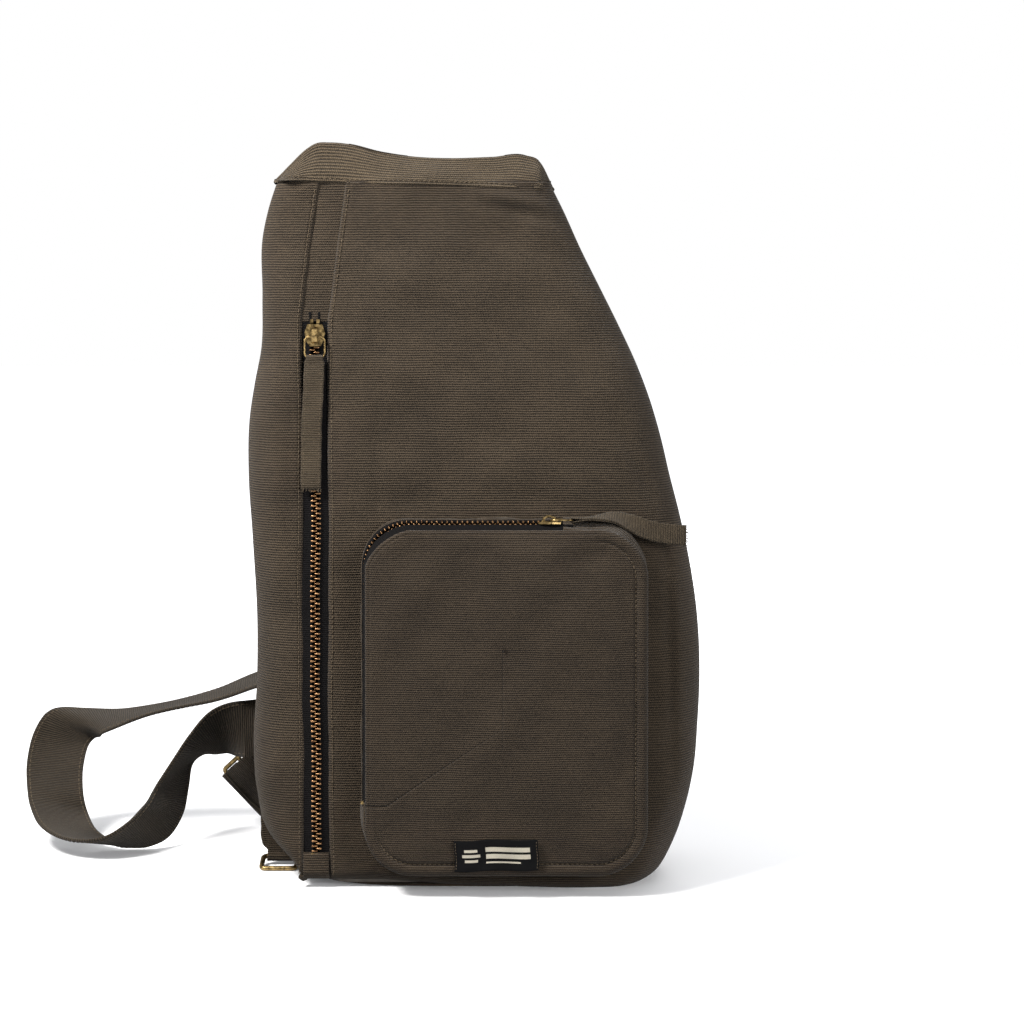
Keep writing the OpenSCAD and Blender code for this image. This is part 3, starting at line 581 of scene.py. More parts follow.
BAND_U = [0, .05, .115, .15, .20, .27, .38, .50, .63, .78, .90, .955, 1]
BAND_TOP_Z = [437, 445, 455.5, 459, 459.6, 458.6, 454, 451, 450, 450.8, 451.6, 447, 432]
BAND_LOW_Z = [436.6, 436.2, 435.6, 435, 434.6, 434, 433.8, 433.6, 433, 432, 430.8, 430.8, 430.6]


def band_sheet():
    """u runs from the left seam to the right; the section goes up the front, over and down the back."""
    u = np.linspace(0, 1, 150)[None, :]
    left, right = left_x(436.0) - 0.6, right_x(433.0) + 0.6
    x = left + (right - left) * u
    low = curve(BAND_U, BAND_LOW_Z, u) - 0.5
    top = curve(BAND_U, BAND_TOP_Z, u)
    front_t = np.linspace(0, 1, 22)[:, None]
    ends = np.clip(np.minimum(u, 1 - u) / 0.05, 0, 1) ** 0.5
    front_low = -15.2 * ends
    back_low = 13.5 * ends
    ridge = -4.5 * ends
    front_z = low + (top - low - 2.2) * front_t
    y_front = front_low + (ridge - 2.6 * ends - front_low) * front_t ** 1.2
    turn = np.linspace(0, np.pi, 12)[1:-1, None]
    turn_y = ridge - 2.6 * ends * np.cos(turn)
    turn_z = top - 2.2 + 2.2 * np.sin(turn)
    y_back = ridge + 2.6 * ends + (back_low - ridge - 2.6 * ends) * (1 - front_t[::-1]) ** 1.2
    back_z = low + (top - low - 2.2) * front_t[::-1]
    y = np.concatenate([y_front, turn_y + 0 * u, y_back], axis=0)
    z = np.concatenate([front_z, turn_z + 0 * u, back_z], axis=0)
    x = x + 0 * y
    relief = ripple(x, z, [(80, .9), (46, .8), (27, .5), (15, .2)], 21)
    y = y - relief * ends * np.where(y < -4.5, 1, -1)
    y[0] += 1.2
    y[-1] -= 1.2
    return np.stack([x, y, z], axis=-1)


band = thicken(grid_object("top_band", band_sheet(), flip=False), 1.2)
# the band's lighter canvas is a painted highlight for the top of the bag
finish_piece(band, BAND_CANVAS_PAINTED_HIGHLIGHT, "bag", ["top_band"])

# %% [markdown]
# ## Places on the leaning front
# Zips and pocket are set out on the front plane: x across, up along the slope, and out of it. One
# function turns such places into points, and everything on the front uses it.

# %% Places on the front
def on_front(x, up, out):
    """World points in mm for places on the leaning front."""
    x, up, out = np.broadcast_arrays(np.asarray(x, float), np.asarray(up, float), np.asarray(out, float))
    y = FRONT_Y + up * math.sin(LEAN) - out * math.cos(LEAN)
    z = up * math.cos(LEAN) + out * math.sin(LEAN)
    return np.stack([x, y, z], axis=-1)


ACROSS = np.array([1.0, 0.0, 0.0])
UPWARD = np.array([0.0, math.sin(LEAN), math.cos(LEAN)])
OUTWARD = np.array([0.0, -math.cos(LEAN), math.sin(LEAN)])


def frames_at(points, ahead, across, up, size):
    """3x4 frames: axes ahead, across and up scaled by size (three lengths in mm), then the place."""
    axes = np.stack([ahead * size[0], across * size[1], up * size[2]], axis=-1)
    return np.concatenate([axes, points[..., None]], axis=-1)


STITCH = capsule()


def stitches(name, line, normal, body="bag", pitch=3.1, size=(2.3, 0.62, 0.62), sink=0.1):
    """A row of thread stitches along a line of points; normal is the direction out of the cloth."""
    line = np.asarray(line, float)
    run = np.concatenate([[0.0], np.cumsum(np.linalg.norm(np.diff(line, axis=0), axis=1))])
    at = np.arange(pitch / 2, run[-1], pitch)
    places = np.stack([np.interp(at, run, line[:, k]) for k in range(3)], axis=-1)
    ahead = np.gradient(line, axis=0)
    ahead = np.stack([np.interp(at, run, ahead[:, k]) for k in range(3)], axis=-1)
    ahead /= np.linalg.norm(ahead, axis=1)[:, None]
    normal = np.broadcast_to(np.asarray(normal, float), line.shape)
    up = np.stack([np.interp(at, run, normal[:, k]) for k in range(3)], axis=-1)
    up = up - (up * ahead).sum(1)[:, None] * ahead
    up /= np.linalg.norm(up, axis=1)[:, None]
    across = np.cross(up, ahead)
    piece = copies(name, *STITCH, frames_at(places + up * sink, ahead, across, up, size))
    piece.data.uv_layers.new(name="cloth")
    return finish_piece(piece, THREAD, body)


def front_surface_y(x, z):
    """The front sheet's y at (x, z), on its flat part."""
    return front_y(z) - front_relief(x, z)


def surface_line(x, z):
    return np.stack([x, front_surface_y(x, z), z], axis=-1)


zz = np.linspace(ZIP_LOW - 10, BODY_TOP - 1, 300)
for side, label_side in ((-1, "left"), (1, "right")):
    edge_x = zip_edge(zz, side) + side * 2.6
    stitches(f"topstitch_zip_{label_side}", surface_line(edge_x, zz), OUTWARD)
band_x = np.linspace(left_x(436.0) + 5, right_x(433.0) - 4, 160)
band_u = (band_x - left_x(436.0)) / (right_x(433.0) - left_x(436.0))
BAND_STITCH_RISE = 2.6
BAND_HEIGHT = 24.0
low = curve(BAND_U, BAND_LOW_Z, band_u) + BAND_STITCH_RISE
share = BAND_STITCH_RISE / BAND_HEIGHT
band_y = -15.2 + 8.1 * share - ripple(band_x, low, [(80, .9), (46, .8), (27, .5), (15, .2)], 21)
stitches("topstitch_band_0", np.stack([band_x, band_y - 0.1, low], axis=-1), (0, -1, 0.2))

# %% [markdown]
# ## The main zip
# A metal zip has two woven tapes with a beaded inner edge, and a tooth clamped over the bead every
# few millimetres, the two sides half a step apart. The tooth is a short bar with a rounded head, made
# once and repeated. The tape is a sheet with a raised bead.

# %% Zips
TOOTH_PITCH = 3.1
CHAIN_W = 6.2
TEETH_OUT = -1.0


def tooth():
    """A tooth along x, from its clamp (x=0) to its head (x=1): a hexagonal section that tapers and domes."""
    stations = np.array([0, .08, .45, .72, .93, 1.0])
    wide = np.array([.42, .5, .46, .36, .30, .18])
    tall = np.array([.40, .5, .5, .46, .40, .26])
    angle = np.linspace(0, 2 * np.pi, 9)[:-1] + np.pi / 8
    ring = np.stack([np.sign(np.cos(angle)) * np.abs(np.cos(angle)) ** .6,
                     np.sign(np.sin(angle)) * np.abs(np.sin(angle)) ** .6])
    verts = np.concatenate([np.stack([np.full(8, s), ring[0] * w, ring[1] * t], axis=1)
                            for s, w, t in zip(stations, wide, tall)])
    faces = [[r * 8 + k, r * 8 + (k + 1) % 8, (r + 1) * 8 + (k + 1) % 8, (r + 1) * 8 + k]
             for r in range(5) for k in range(8)]
    faces.append(list(reversed(range(8))))
    faces.append([40 + k for k in range(8)])
    return verts, faces


TOOTH = tooth()
teeth_count = int((ZIP_HIGH - ZIP_LOW - 13.5) // TOOTH_PITCH) - 1
for side, label_side in ((-1, "left"), (1, "right")):
    up = ZIP_LOW + 4.6 + (np.arange(teeth_count) + (0 if side < 0 else 0.5)) * TOOTH_PITCH
    waver = 0.35 * np.sin(up / 31.0) + 0.2 * np.sin(up / 11.0)
    places = on_front(ZIP_X + waver + side * CHAIN_W / 2, up, TEETH_OUT + 0.15)
    shape = places.shape
    frames = frames_at(places, np.broadcast_to(-side * ACROSS, shape), np.broadcast_to(-side * UPWARD, shape),
                       np.broadcast_to(OUTWARD, shape), (3.7, 1.35, 2.7))
    teeth = copies(f"main_teeth_{label_side}", *TOOTH, frames)
    finish_piece(teeth, TEETH_BRASS, "bag", [f"main_zip_teeth_{label_side}"])


def zip_tape_sheet(side):
    """From under the canvas edge to the bead beside the teeth."""
    up = np.linspace(ZIP_LOW - 6, ZIP_HIGH + 4, 330)[:, None]
    u = np.linspace(0, 1, 14)[None, :]
    outer = ZIP_GAP / 2 + 4.0
    inner = CHAIN_W / 2 - 0.9
    waver = 0.35 * np.sin(up / 31.0) + 0.2 * np.sin(up / 11.0)
    x = ZIP_X + waver + side * (outer + (inner - outer) * u)
    bead = 0.75 * np.exp(-((1 - u) / 0.14) ** 2)
    dish = -0.35 * np.sin(np.pi * u)
    out = -1.15 + bead + dish - 1.2 * np.clip(1 - u / 0.45, 0, 1) + ripple(x, up, [(26, .12), (14, .08)], 31)
    return on_front(x, up + 0 * x, out)


for side, label_side in ((-1, "left"), (1, "right")):
    tape = thicken(grid_object(f"main_tape_{label_side}", zip_tape_sheet(side), flip=side > 0), 0.7)
    finish_piece(tape, ZIP_TAPE, "bag", [f"main_zip_tape_{label_side}"])


def foot_sheet():
    """The canvas tab that covers the zip's lower end, its edges sewn down."""
    up = np.linspace(1.0, ZIP_LOW + 0.5, 24)[:, None]
    u = np.linspace(-1, 1, 20)[None, :]
    x = ZIP_X + u * (ZIP_GAP / 2 + 0.4)
    out = 0.55 - 0.9 * np.abs(u) ** 6 - 0.8 * np.clip((up - ZIP_LOW + 1.5) / 2, 0,
                                                      1) + ripple(x, up, [(12, .15)], 5)
    out = out - 6.0 * np.clip(1 - up / 7.0, 0, 1) ** 2
    points = on_front(x, up + 0 * x, out)
    points[..., 2] += base_lift(x, points[..., 2])
    return points


foot = thicken(grid_object("zip_foot", foot_sheet()), 1.1)
finish_piece(foot, BODY_CANVAS, "bag", ["zip_foot_tab"])
foot_x = np.linspace(ZIP_X - 6.5, ZIP_X + 6.5, 12)
stitches("topstitch_foot", on_front(foot_x, ZIP_LOW - 2.2, 0.5), OUTWARD)

# %% [markdown]
# ## The front pocket
# The pocket is a box: a front panel joined to the bag by a gusset. The gusset runs round a rounded
# rectangle, and its section says how far in and how far out each line of it lies. On the left and
# the top the gusset holds the zip; on the right and below it is plain canvas, and the panel ends
# in a flat lip that is stitched down.

# %% Pocket outline
POCKET_LEFT, POCKET_RIGHT = -70.0, 105.0
POCKET_LOW, POCKET_HIGH = 13.0, 230.0
CORNER = {"top left": 29.0, "top right": 33.0, "low right": 28.0, "low left": 31.0}
ZIP_START_UP = 55.0
ZIP_END_X = 62.0


def pocket_line(inset, count=360):
    """The rounded rectangle, clockwise from the zip's low end on the left side, with its outward normals.

    Each straight and each quarter circle takes its share of the points by its length at inset 0, so
    a point keeps its place along the outline at every inset.
    """
    x0, x1, z0, z1 = POCKET_LEFT, POCKET_RIGHT, POCKET_LOW, POCKET_HIGH
    tl, tr = CORNER["top left"], CORNER["top right"]
    br, bl = CORNER["low right"], CORNER["low left"]
    legs = [("line", (x0, ZIP_START_UP), (x0, z1 - tl), (-1, 0)), ("turn", (x0 + tl, z1 - tl), tl, 180),
            ("line", (x0 + tl, z1), (x1 - tr, z1), (0, 1)), ("turn", (x1 - tr, z1 - tr), tr, 90),
            ("line", (x1, z1 - tr), (x1, z0 + br), (1, 0)), ("turn", (x1 - br, z0 + br), br, 0),
            ("line", (x1 - br, z0), (x0 + bl, z0), (0, -1)), ("turn", (x0 + bl, z0 + bl), bl, -90),
            ("line", (x0, z0 + bl), (x0, ZIP_START_UP), (-1, 0))]
    size = [math.dist(a, b) if kind == "line" else a_r * math.pi / 2
            for kind, a, b, a_r in [(k, p, q, q if k == "turn" else 0) for k, p, q, _ in legs]]
    run = np.concatenate([[0.0], np.cumsum(size)])
    s = np.arange(count) / count * run[-1]
    leg = np.clip(np.searchsorted(run, s, side="right") - 1, 0, len(legs) - 1)
    place = np.zeros((count, 2))
    normal = np.zeros((count, 2))
    for i, (kind, a, b, extra) in enumerate(legs):
        pick = leg == i
        t = ((s[pick] - run[i]) / size[i])[:, None]
        if kind == "line":
            n = np.broadcast_to(np.array(extra, float), (pick.sum(), 2))
            p = np.array(a) + (np.array(b) - np.array(a)) * t
        else:
            turn = np.radians(extra - 90 * t[:, 0])
            n = np.stack([np.cos(turn), np.sin(turn)], axis=1)
            p = np.array(a) + n * b
        normal[pick] = n
        place[pick] = p
    inset = np.broadcast_to(np.asarray(inset, float), (count,))[:, None]
    moved = place - normal * inset
    centre = np.array([(x0 + x1) / 2, (z0 + z1) / 2])
    return moved, normal, s, run[-1], centre


OUTLINE, NORMAL, ALONG, AROUND, CENTRE = pocket_line(0.0)
zip_part = (OUTLINE[:, 0] < ZIP_END_X) & (ALONG < AROUND * 0.62) & (OUTLINE[:, 1] > ZIP_START_UP - 1)
zip_part &= ~((OUTLINE[:, 0] > 0) & (OUTLINE[:, 1] < 200))
zip_last = int(np.nonzero(zip_part)[0].max())
print("pocket outline", round(AROUND), "mm, zip", round(ALONG[zip_last]), "mm")


def pocket_section(insets, outs, first, last, seed, amount=0.25):
    """A strip of the gusset: rows from (inset, out) pairs, columns along the outline."""
    pick = np.arange(first, last + 1) % len(OUTLINE)
    place, normal, along = OUTLINE[pick], NORMAL[pick], np.unwrap(ALONG[pick], period=AROUND)
    insets = np.asarray(insets, float)[:, None]
    outs = np.asarray(outs, float)[:, None]
    slant = front_slant(normal[None], outs)
    wave = ripple(along[None, :] + 0 * insets, outs * 3,
                  [(70, amount), (31, amount * .7), (17, amount * .5)], seed)
    shift = insets + slant - wave
    x = place[None, :, 0] - normal[None, :, 0] * shift
    up = place[None, :, 1] - normal[None, :, 1] * shift
    return on_front(x, up, outs + 0 * x)


def front_slant(normal, out):
    """How far the walls have leaned in at a given height: the zip pulls them in on the left and the top."""
    full = 2.4 * np.clip(-normal[..., 0], 0, 1) + 5.6 * np.clip(normal[..., 1], 0, 1)
    full = full + 2.4 * np.clip(-normal[..., 0] * normal[..., 1], 0, 1)
    share = np.clip((out - 9.0) / 16.0, 0, 1)
    return 0.3 + full * share * share * (3 - 2 * share)


# %% [markdown]
# The rear strip stands on the bag, then comes the zip or the plain gusset, then the panel. Each strip is
# a sheet with a folded edge beside the next one, so the joints read as seams.

# %% Pocket gusset and its zip
ROUND_ALL = len(OUTLINE)
rear_in, rear_out = [1.2, 0.1, -0.2, -0.3, -0.1, 0.7, 1.6], [-0.8, -0.2, 1.2, 3.6, 6.6, 7.9, 7.6]
rear = thicken(grid_object("pocket_rear_strip", pocket_section(rear_in, rear_out, 0, ROUND_ALL, 41, .3),
                           flip=True), 1.2)
finish_piece(rear, BODY_CANVAS, "bag", ["pocket_rear_gusset"])

side_in = [1.8, 0.5, 0.1, 0.2, 0.5, 0.9, 0.9, 0.9, 0.4, 1.2]
side_out = [7.0, 7.8, 9.2, 11.5, 14.0, 17.0, 19.5, 22.0, 23.8, 24.6]


def side_gusset():
    """Plain canvas from the zip's right end round to its low end, slack enough to buckle at the corner."""
    points = pocket_section(np.array(side_in) - 0.5, side_out, zip_last - 3, ROUND_ALL + 1, 43, .55)
    return points


gusset = thicken(grid_object("pocket_gusset", side_gusset(), flip=True), 1.2)
finish_piece(gusset, BODY_CANVAS, "bag", ["pocket_side_gusset"])

tape_rows = {"rear": ([1.6, 0.7, 0.6, 0.6, 0.5, 1.2], [7.2, 7.8, 9.6, 11.6, 13.0, 13.5]),
             "front": ([1.2, 0.5, 0.6, 0.7, 0.9, 1.8], [16.5, 17.0, 18.6, 21.0, 23.4, 24.2])}
for name, (insets, outs) in tape_rows.items():
    tape = thicken(grid_object(f"pocket_tape_{name}", pocket_section(insets, outs, 0, zip_last, 45, .12),
                               flip=True), 0.7)
    finish_piece(tape, ZIP_TAPE, "bag", [f"pocket_zip_tape_{name}"])


def pocket_teeth(name, out, direction, shift):
    """Teeth along the pocket zip up to its slider, lying in the gusset with their heads to each other."""
    stop = 46.0 - 6.0
    usable = (np.arange(ROUND_ALL) <= zip_last) & ~((OUTLINE[:, 0] > stop) & (OUTLINE[:, 1] > 200))
    run = ALONG[usable]
    at = np.arange(2 + shift * TOOTH_PITCH, run.max(), TOOTH_PITCH)
    place = np.stack([np.interp(at, run, OUTLINE[usable, k]) for k in range(2)], axis=-1)
    normal = np.stack([np.interp(at, run, NORMAL[usable, k]) for k in range(2)], axis=-1)
    normal /= np.linalg.norm(normal, axis=1)[:, None]
    slant = front_slant(normal, out) + 0.9 + 1.3 * np.clip(-normal[:, 0], 0, 1)
    centre = on_front(place[:, 0] - normal[:, 0] * slant, place[:, 1] - normal[:, 1] * slant, out)
    away = normal[:, :1] * ACROSS + normal[:, 1:] * UPWARD
    ahead = np.broadcast_to(direction * OUTWARD, away.shape)
    return copies(name, *TOOTH, frames_at(centre, ahead, np.cross(away, ahead), away, (2.7, 1.3, 2.2)))


for name, out, direction, shift in (("rear", 13.0, 1.0, 0.0), ("front", 17.0, -1.0, 0.5)):
    teeth = pocket_teeth(f"pocket_teeth_{name}", out, direction, shift)
    finish_piece(teeth, TEETH_BRASS, "bag", [f"pocket_zip_teeth_{name}"])

# %% Pocket front panel
def panel_sheet():
    """Rings of the outline drawn in towards the panel's middle; the crown is what the filling pushes out.

    The outermost ring is the turned edge; on the right and below a flat lip with a stitched groove
    follows, and inside it the cloth rises in a soft crown.
    """
    inward = np.concatenate([np.linspace(0, 12, 25), np.linspace(13, 100, 60)])
    lipped = np.clip(NORMAL[:, 0], 0, 1) ** 0.5 + np.clip(-NORMAL[:, 1], 0, 1) ** 0.5
    lipped = np.clip(lipped, 0, 1)
    lipped = np.convolve(np.concatenate([lipped[-6:], lipped, lipped[:6]]), np.ones(13) / 13, mode="valid")
    slant = front_slant(NORMAL, 25.0) + 0.9 - 2.0 * lipped
    edge = OUTLINE - NORMAL * slant[:, None]
    target = CENTRE + (edge - CENTRE) * np.array([0.0, 0.28])
    straight = edge[None] - NORMAL[None] * np.minimum(inward, 13)[:, None, None]
    blend = np.clip((inward - 13) / 87, 0, 1)[:, None, None]
    place = straight + (target[None] - straight) * blend
    x, up = place[..., 0], place[..., 1]
    roll = 1.5 * (1 - np.exp(-inward / 0.8))[:, None] - 1.5
    p, q = np.abs((x - CENTRE[0]) / 88.0), np.abs((up - CENTRE[1]) / 107.0)
    crown = 3.4 * np.clip(1 - p**7, 0, 1) * np.clip(1 - q**7, 0, 1)
    groove = -1.5 * np.exp(-((inward - 7.4) / 1.0) ** 2)[:, None] * lipped[None, :]
    edge_seam = -0.5 * np.exp(-((inward - 2.6) / 0.6) ** 2)[:, None] * (1 - lipped)[None, :]
    lip_lift = 1.3 * np.exp(-((inward - 3.2) / 2.6) ** 2)[:, None] * lipped[None, :]
    soft = ripple(x, up, [(130, 1.0), (80, .8), (47, .5), (30, .26), (18, .1)], 51)
    dents = 1.2 * bump_at(x, up, -40, 190, 30, 12, -30) - 1.3 * bump_at(x, up, 60, 204, 26, 7, 12)
    dents = dents - 1.0 * bump_at(x, up, -10, 45, 60, 8, 4) + 0.8 * bump_at(x, up, 84, 120, 7, 60)
    away = np.clip(inward / 14.0, 0, 1)[:, None]
    wave = pucker(inward[:, None] - 7.4 + 0 * x, ALONG[None, :] + 0 * x, 3.0, 4.0, 0.28) * lipped[None, :]
    out = 25.2 + roll + crown + groove + edge_seam + lip_lift + (soft + dents) * away + wave
    return on_front(x, up, out)


PANEL = panel_sheet()
panel_uv = np.stack([PANEL[..., 0], PANEL[..., 2]], axis=-1)
closed_panel = np.concatenate([PANEL, PANEL[:, :1]], axis=1)
closed_uv = np.concatenate([panel_uv, panel_uv[:, :1]], axis=1)
panel = thicken(grid_object("pocket_front", closed_panel, uv=closed_uv, flip=True), 1.2)
finish_piece(panel, POCKET_CANVAS, "bag", ["pocket_front_panel", "pocket_lip"])
groove_ring = PANEL[15]
lip_first = int(np.argmin(np.abs(OUTLINE[:, 0] - 100) + np.abs(OUTLINE[:, 1] - 215)))
lip_last = int(np.argmin(np.abs(OUTLINE[:, 0] + 62) + np.abs(OUTLINE[:, 1] - 30)))
stitches("topstitch_lip", groove_ring[lip_first:lip_last], OUTWARD, pitch=3.0, sink=0.35)

# %% [markdown]
# ## Woven label
# A small folded satin label, sewn down at its ends, so its middle stands off in soft waves. Its
# pattern is six plain bars, three long and three short, made from its own UV coordinates.

# %% Label
def label_material():
    """Black satin weave with six cream bars."""
    material, tree, shader = new_material("woven label", 0.8)
    shader.inputs["Specular IOR Level"].default_value = 0.08
    uv = node(tree, "ShaderNodeUVMap", {"uv_map": "cloth"})
    split = node(tree, "ShaderNodeSeparateXYZ", {}, {0: uv.outputs[0]})
    across = math_node(tree, "MULTIPLY", split.outputs["X"], 1000.0)
    upward = math_node(tree, "MULTIPLY", split.outputs["Y"], 1000.0)

    def inside(value, low, high):
        return math_node(tree, "MULTIPLY", math_node(tree, "GREATER_THAN", value, low),
                         math_node(tree, "LESS_THAN", value, high))

    marks = None
    for x0, x1, z0, z1 in ((19, 46, 11.6, 14.4), (19, 46, 7.4, 10.2), (19, 40, 4.6, 5.6),
                           (4.5, 15.5, 8.6, 10.4),
                           (6.0, 14.0, 5.6, 7.2), (6.0, 14.0, 11.8, 13.4)):
        bar = math_node(tree, "MULTIPLY", inside(across, x0, x1), inside(upward, z0, z1))
        marks = bar if marks is None else math_node(tree, "MAXIMUM", marks, bar)
    yarn = math_node(tree, "SINE", math_node(tree, "MULTIPLY", upward, 2 * math.pi / 0.45))
    grain = node(tree, "ShaderNodeTexNoise", {"Scale": 1500.0, "Detail": 2.0}, {"Vector": uv.outputs[0]})
    mixed = math_node(tree, "MULTIPLY", marks,
                      math_node(tree, "ADD", math_node(tree, "MULTIPLY", grain.outputs["Fac"], 0.5), 0.6))
    tree.links.new(ramp(tree, mixed, 0.0, 0.95, "#070708", "#b9b2a2"), shader.inputs["Base Color"])
    bump = node(tree, "ShaderNodeBump", {"Strength": 0.4, "Distance": 0.00008}, {"Height": yarn})
    tree.links.new(bump.outputs[0], shader.inputs["Normal"])
    return material


LABEL_W, LABEL_H = 51.0, 19.0
LABEL_X, LABEL_UP = 13.5, 16.2


def label_sheet():
    u = np.linspace(0, 1, 60)[None, :]
    v = np.linspace(0, 1, 22)[:, None]
    x = LABEL_X + (u - 0.5) * LABEL_W + 0.4 * np.sin(v * 5)
    up = LABEL_UP + v * LABEL_H - 0.35 * np.sin(u * np.pi * 3) + 0.8 * (u - 0.5)
    free = np.sin(np.pi * u)
    wave = 0.55 * np.sin(u * 9 + v * 2.4) * free + 0.4 * np.sin(u * 17 - v * 3) * free
    lip = 0.9 * np.exp(-((up - POCKET_LOW - 5.0) / 2.6) ** 2)
    out = 26.6 + lip * 0.4 + 2.2 * (1 - np.exp(-np.clip(up - 20.0, 0, None) / 16.0)) + 1.9 + wave
    uv = np.stack([u * LABEL_W + 0 * v, v * LABEL_H + 0 * u], axis=-1)
    return on_front(x, up, out), uv


label_points, label_uv = label_sheet()
label = thicken(grid_object("woven_label", label_points, uv=label_uv), 0.45)
finish_piece(label, label_material(), "bag", ["label"])
for k, column in enumerate((1, -2)):
    stitches(f"label_stitch_{k}", label_points[1:-1, column], OUTWARD, pitch=1.9, size=(1.4, 0.4, 0.4))

# %% [markdown]
# ## Pull tabs
# A pull is one strip of canvas folded in two round its ring and sewn flat. Its path runs up the back
# layer, round the bar and down the front layer. The same function makes the sewn tabs of the corner
# rings.

# %% Pull tabs and ring tabs
def unit(v):
    return v / np.linalg.norm(v, axis=-1, keepdims=True)


def smooth_rows(rows, steps):
    """Rows of points, with steps smooth places between each pair."""
    rows = np.asarray(rows, float)
    knots = np.arange(len(rows))
    at = np.linspace(0, len(rows) - 1, (len(rows) - 1) * steps + 1)
    flat = rows.reshape(len(rows), -1)
    out = np.stack([curve(knots, flat[:, k], at) for k in range(flat.shape[1])], axis=-1)
    return out.reshape((len(at),) + rows.shape[1:])


def folded_tab(name, bar, left, right, half, loop, material, body, nodes, loop_share=0.9, cols=12, waver=0.25,
               seed=1, thick=0.7):
    """left and right are the tab's two edges from near the bar to its end.

    Returns the front layer's points.
    """
    left, right = np.asarray(left, float), np.asarray(right, float)
    middle = (left + right) / 2
    across = unit(right - left)
    wide = np.linalg.norm(right - left, axis=1)
    ahead = unit(np.gradient(middle, axis=0))
    normal = unit(np.cross(ahead, across))
    u = np.linspace(-0.5, 0.5, cols)[None, :, None]
    run = np.arange(len(left))[:, None]
    wave = waver * np.sin(run * 0.33 + seed + 2.1 * u[..., 0]) * np.clip(run / 6.0, 0, 1)
    flutter = 1 + 0.018 * np.sin(run * 0.9 + seed * 3)
    body_line = middle[:, None] + across[:, None] * wide[:, None, None] * u * flutter[..., None]
    front = body_line + normal[:, None] * (half + wave)[..., None]
    back = body_line - normal[:, None] * (half - wave * 0.9)[..., None]
    phi = np.radians(np.linspace(-125, 125, 17))[:, None, None]
    centre = np.asarray(bar, float)[None, None, :] + across[0] * wide[0] * loop_share * u
    ring = centre - ahead[0] * loop * np.cos(phi) + normal[0] * loop * np.sin(phi)
    points = np.concatenate([back[::-1], ring, front], axis=0)
    tab = thicken(grid_object(name, points), thick, 0.0)
    finish_piece(tab, material, body, nodes)
    return front, normal


def edge_stitches(name, surface, normal, body, share=0.13, start=0, **settings):
    """Two rows of stitches along a strip, a share of its width in from each edge."""
    last = surface.shape[1] - 1
    for k, at in enumerate((share * last, (1 - share) * last)):
        low = int(np.floor(at))
        line = surface[:, low] * (1 - at + low) + surface[:, low + 1] * (at - low)
        stitches(f"{name}_{k}", line[start:], normal[start:], body=body, **settings)


def frayed_end(name, end, ahead, across, body, seed, count=26):
    """Loose yarns at a raw end: thin bars that leave the edge at their own angles."""
    draw = np.random.default_rng(seed)
    u = draw.uniform(-0.5, 0.5, count)
    wide = np.linalg.norm(end[-1] - end[0])
    length = draw.uniform(1.0, 3.0, count)
    lean = draw.uniform(-0.5, 0.5, count)
    ahead_n = unit(ahead[None] + across[None] * lean[:, None])
    up = np.cross(ahead, across)
    side = np.cross(up[None], ahead_n)
    places = (end[0] + end[-1]) / 2 + across[None] * (u * wide)[:, None] + ahead_n * (length * 0.35)[:, None]
    axes = np.stack([ahead_n * length[:, None], side * 0.28, np.broadcast_to(up, ahead_n.shape) * 0.28],
                    axis=-1)
    piece = copies(name, *STITCH, np.concatenate([axes, places[..., None]], axis=-1))
    piece.data.uv_layers.new(name="cloth")
    return finish_piece(piece, THREAD, body)


PULL_W = 12.5
pull_top_up, pull_out = 328.85, 3.1
s = np.linspace(3.0, 81.0, 46)
pull_centre_out = pull_out - 0.9 * np.clip((s - 3) / 40, 0, 1) + 0.35 * np.sin(s / 11.0)
pull_drift = -2.2 * np.clip(s / 40, 0, 1) + 0.3 * np.sin(s / 17.0)
main_left = on_front(ZIP_X - PULL_W / 2 + pull_drift, pull_top_up - s, pull_centre_out)
main_right = on_front(ZIP_X + PULL_W / 2 + pull_drift, pull_top_up - s, pull_centre_out)
pull_bar = on_front(ZIP_X, pull_top_up, pull_out)
pull_front, pull_normal = folded_tab("main_pull_tab", pull_bar, main_left, main_right, 0.42, 1.3, TAB_CANVAS,
                                     "main_pull", ["main_zip_pull"], loop_share=0.82)
print("main pull faces", pull_normal[5])
edge_stitches("main_pull_stitch", pull_front, pull_normal, "main_pull", start=3)
frayed_end("main_pull_fray", pull_front[-1], -UPWARD, ACROSS, "main_pull", 5)

# the pocket's pull turns a quarter as it leaves the zip: along, up, out, and the tilt of its width
POCKET_PULL = [[0, 0, 15, 0], [12, 1, 13.6, 6], [24, 1.4, 11.4, 28], [35, -2.6, 8.4, 62], [46, -6.6, 5.8, 84],
               [57, -8.8, 4.6, 90], [69, -9.8, 4.6, 90]]
route = smooth_rows(POCKET_PULL, 8)[4:]
pocket_bar_x, pocket_bar_up = 59.8, 229.3
tilt = np.radians(route[:, 3])
route_mid = on_front(pocket_bar_x + 1.5 + route[:, 0], pocket_bar_up + route[:, 1],
                     route[:, 2] + 0.35 * np.sin(route[:, 0] / 6.0))
route_side = (np.cos(tilt)[:, None] * OUTWARD - np.sin(tilt)[:, None] * UPWARD) * PULL_W / 2
pocket_bar = on_front(pocket_bar_x, pocket_bar_up, 15.0)
pocket_front, pocket_normal = folded_tab("pocket_pull_tab", pocket_bar, route_mid - route_side,
                                         route_mid + route_side,
                                         0.42, 1.3, TAB_CANVAS, "pocket_pull", ["pocket_zip_pull"],
                                         loop_share=0.8, seed=4)
edge_stitches("pocket_pull_stitch", pocket_front, pocket_normal, "pocket_pull", start=3)
frayed_end("pocket_pull_fray", pocket_front[-1], unit(route_mid[-1] - route_mid[-3]), unit(route_side[-1]),
           "pocket_pull", 6)

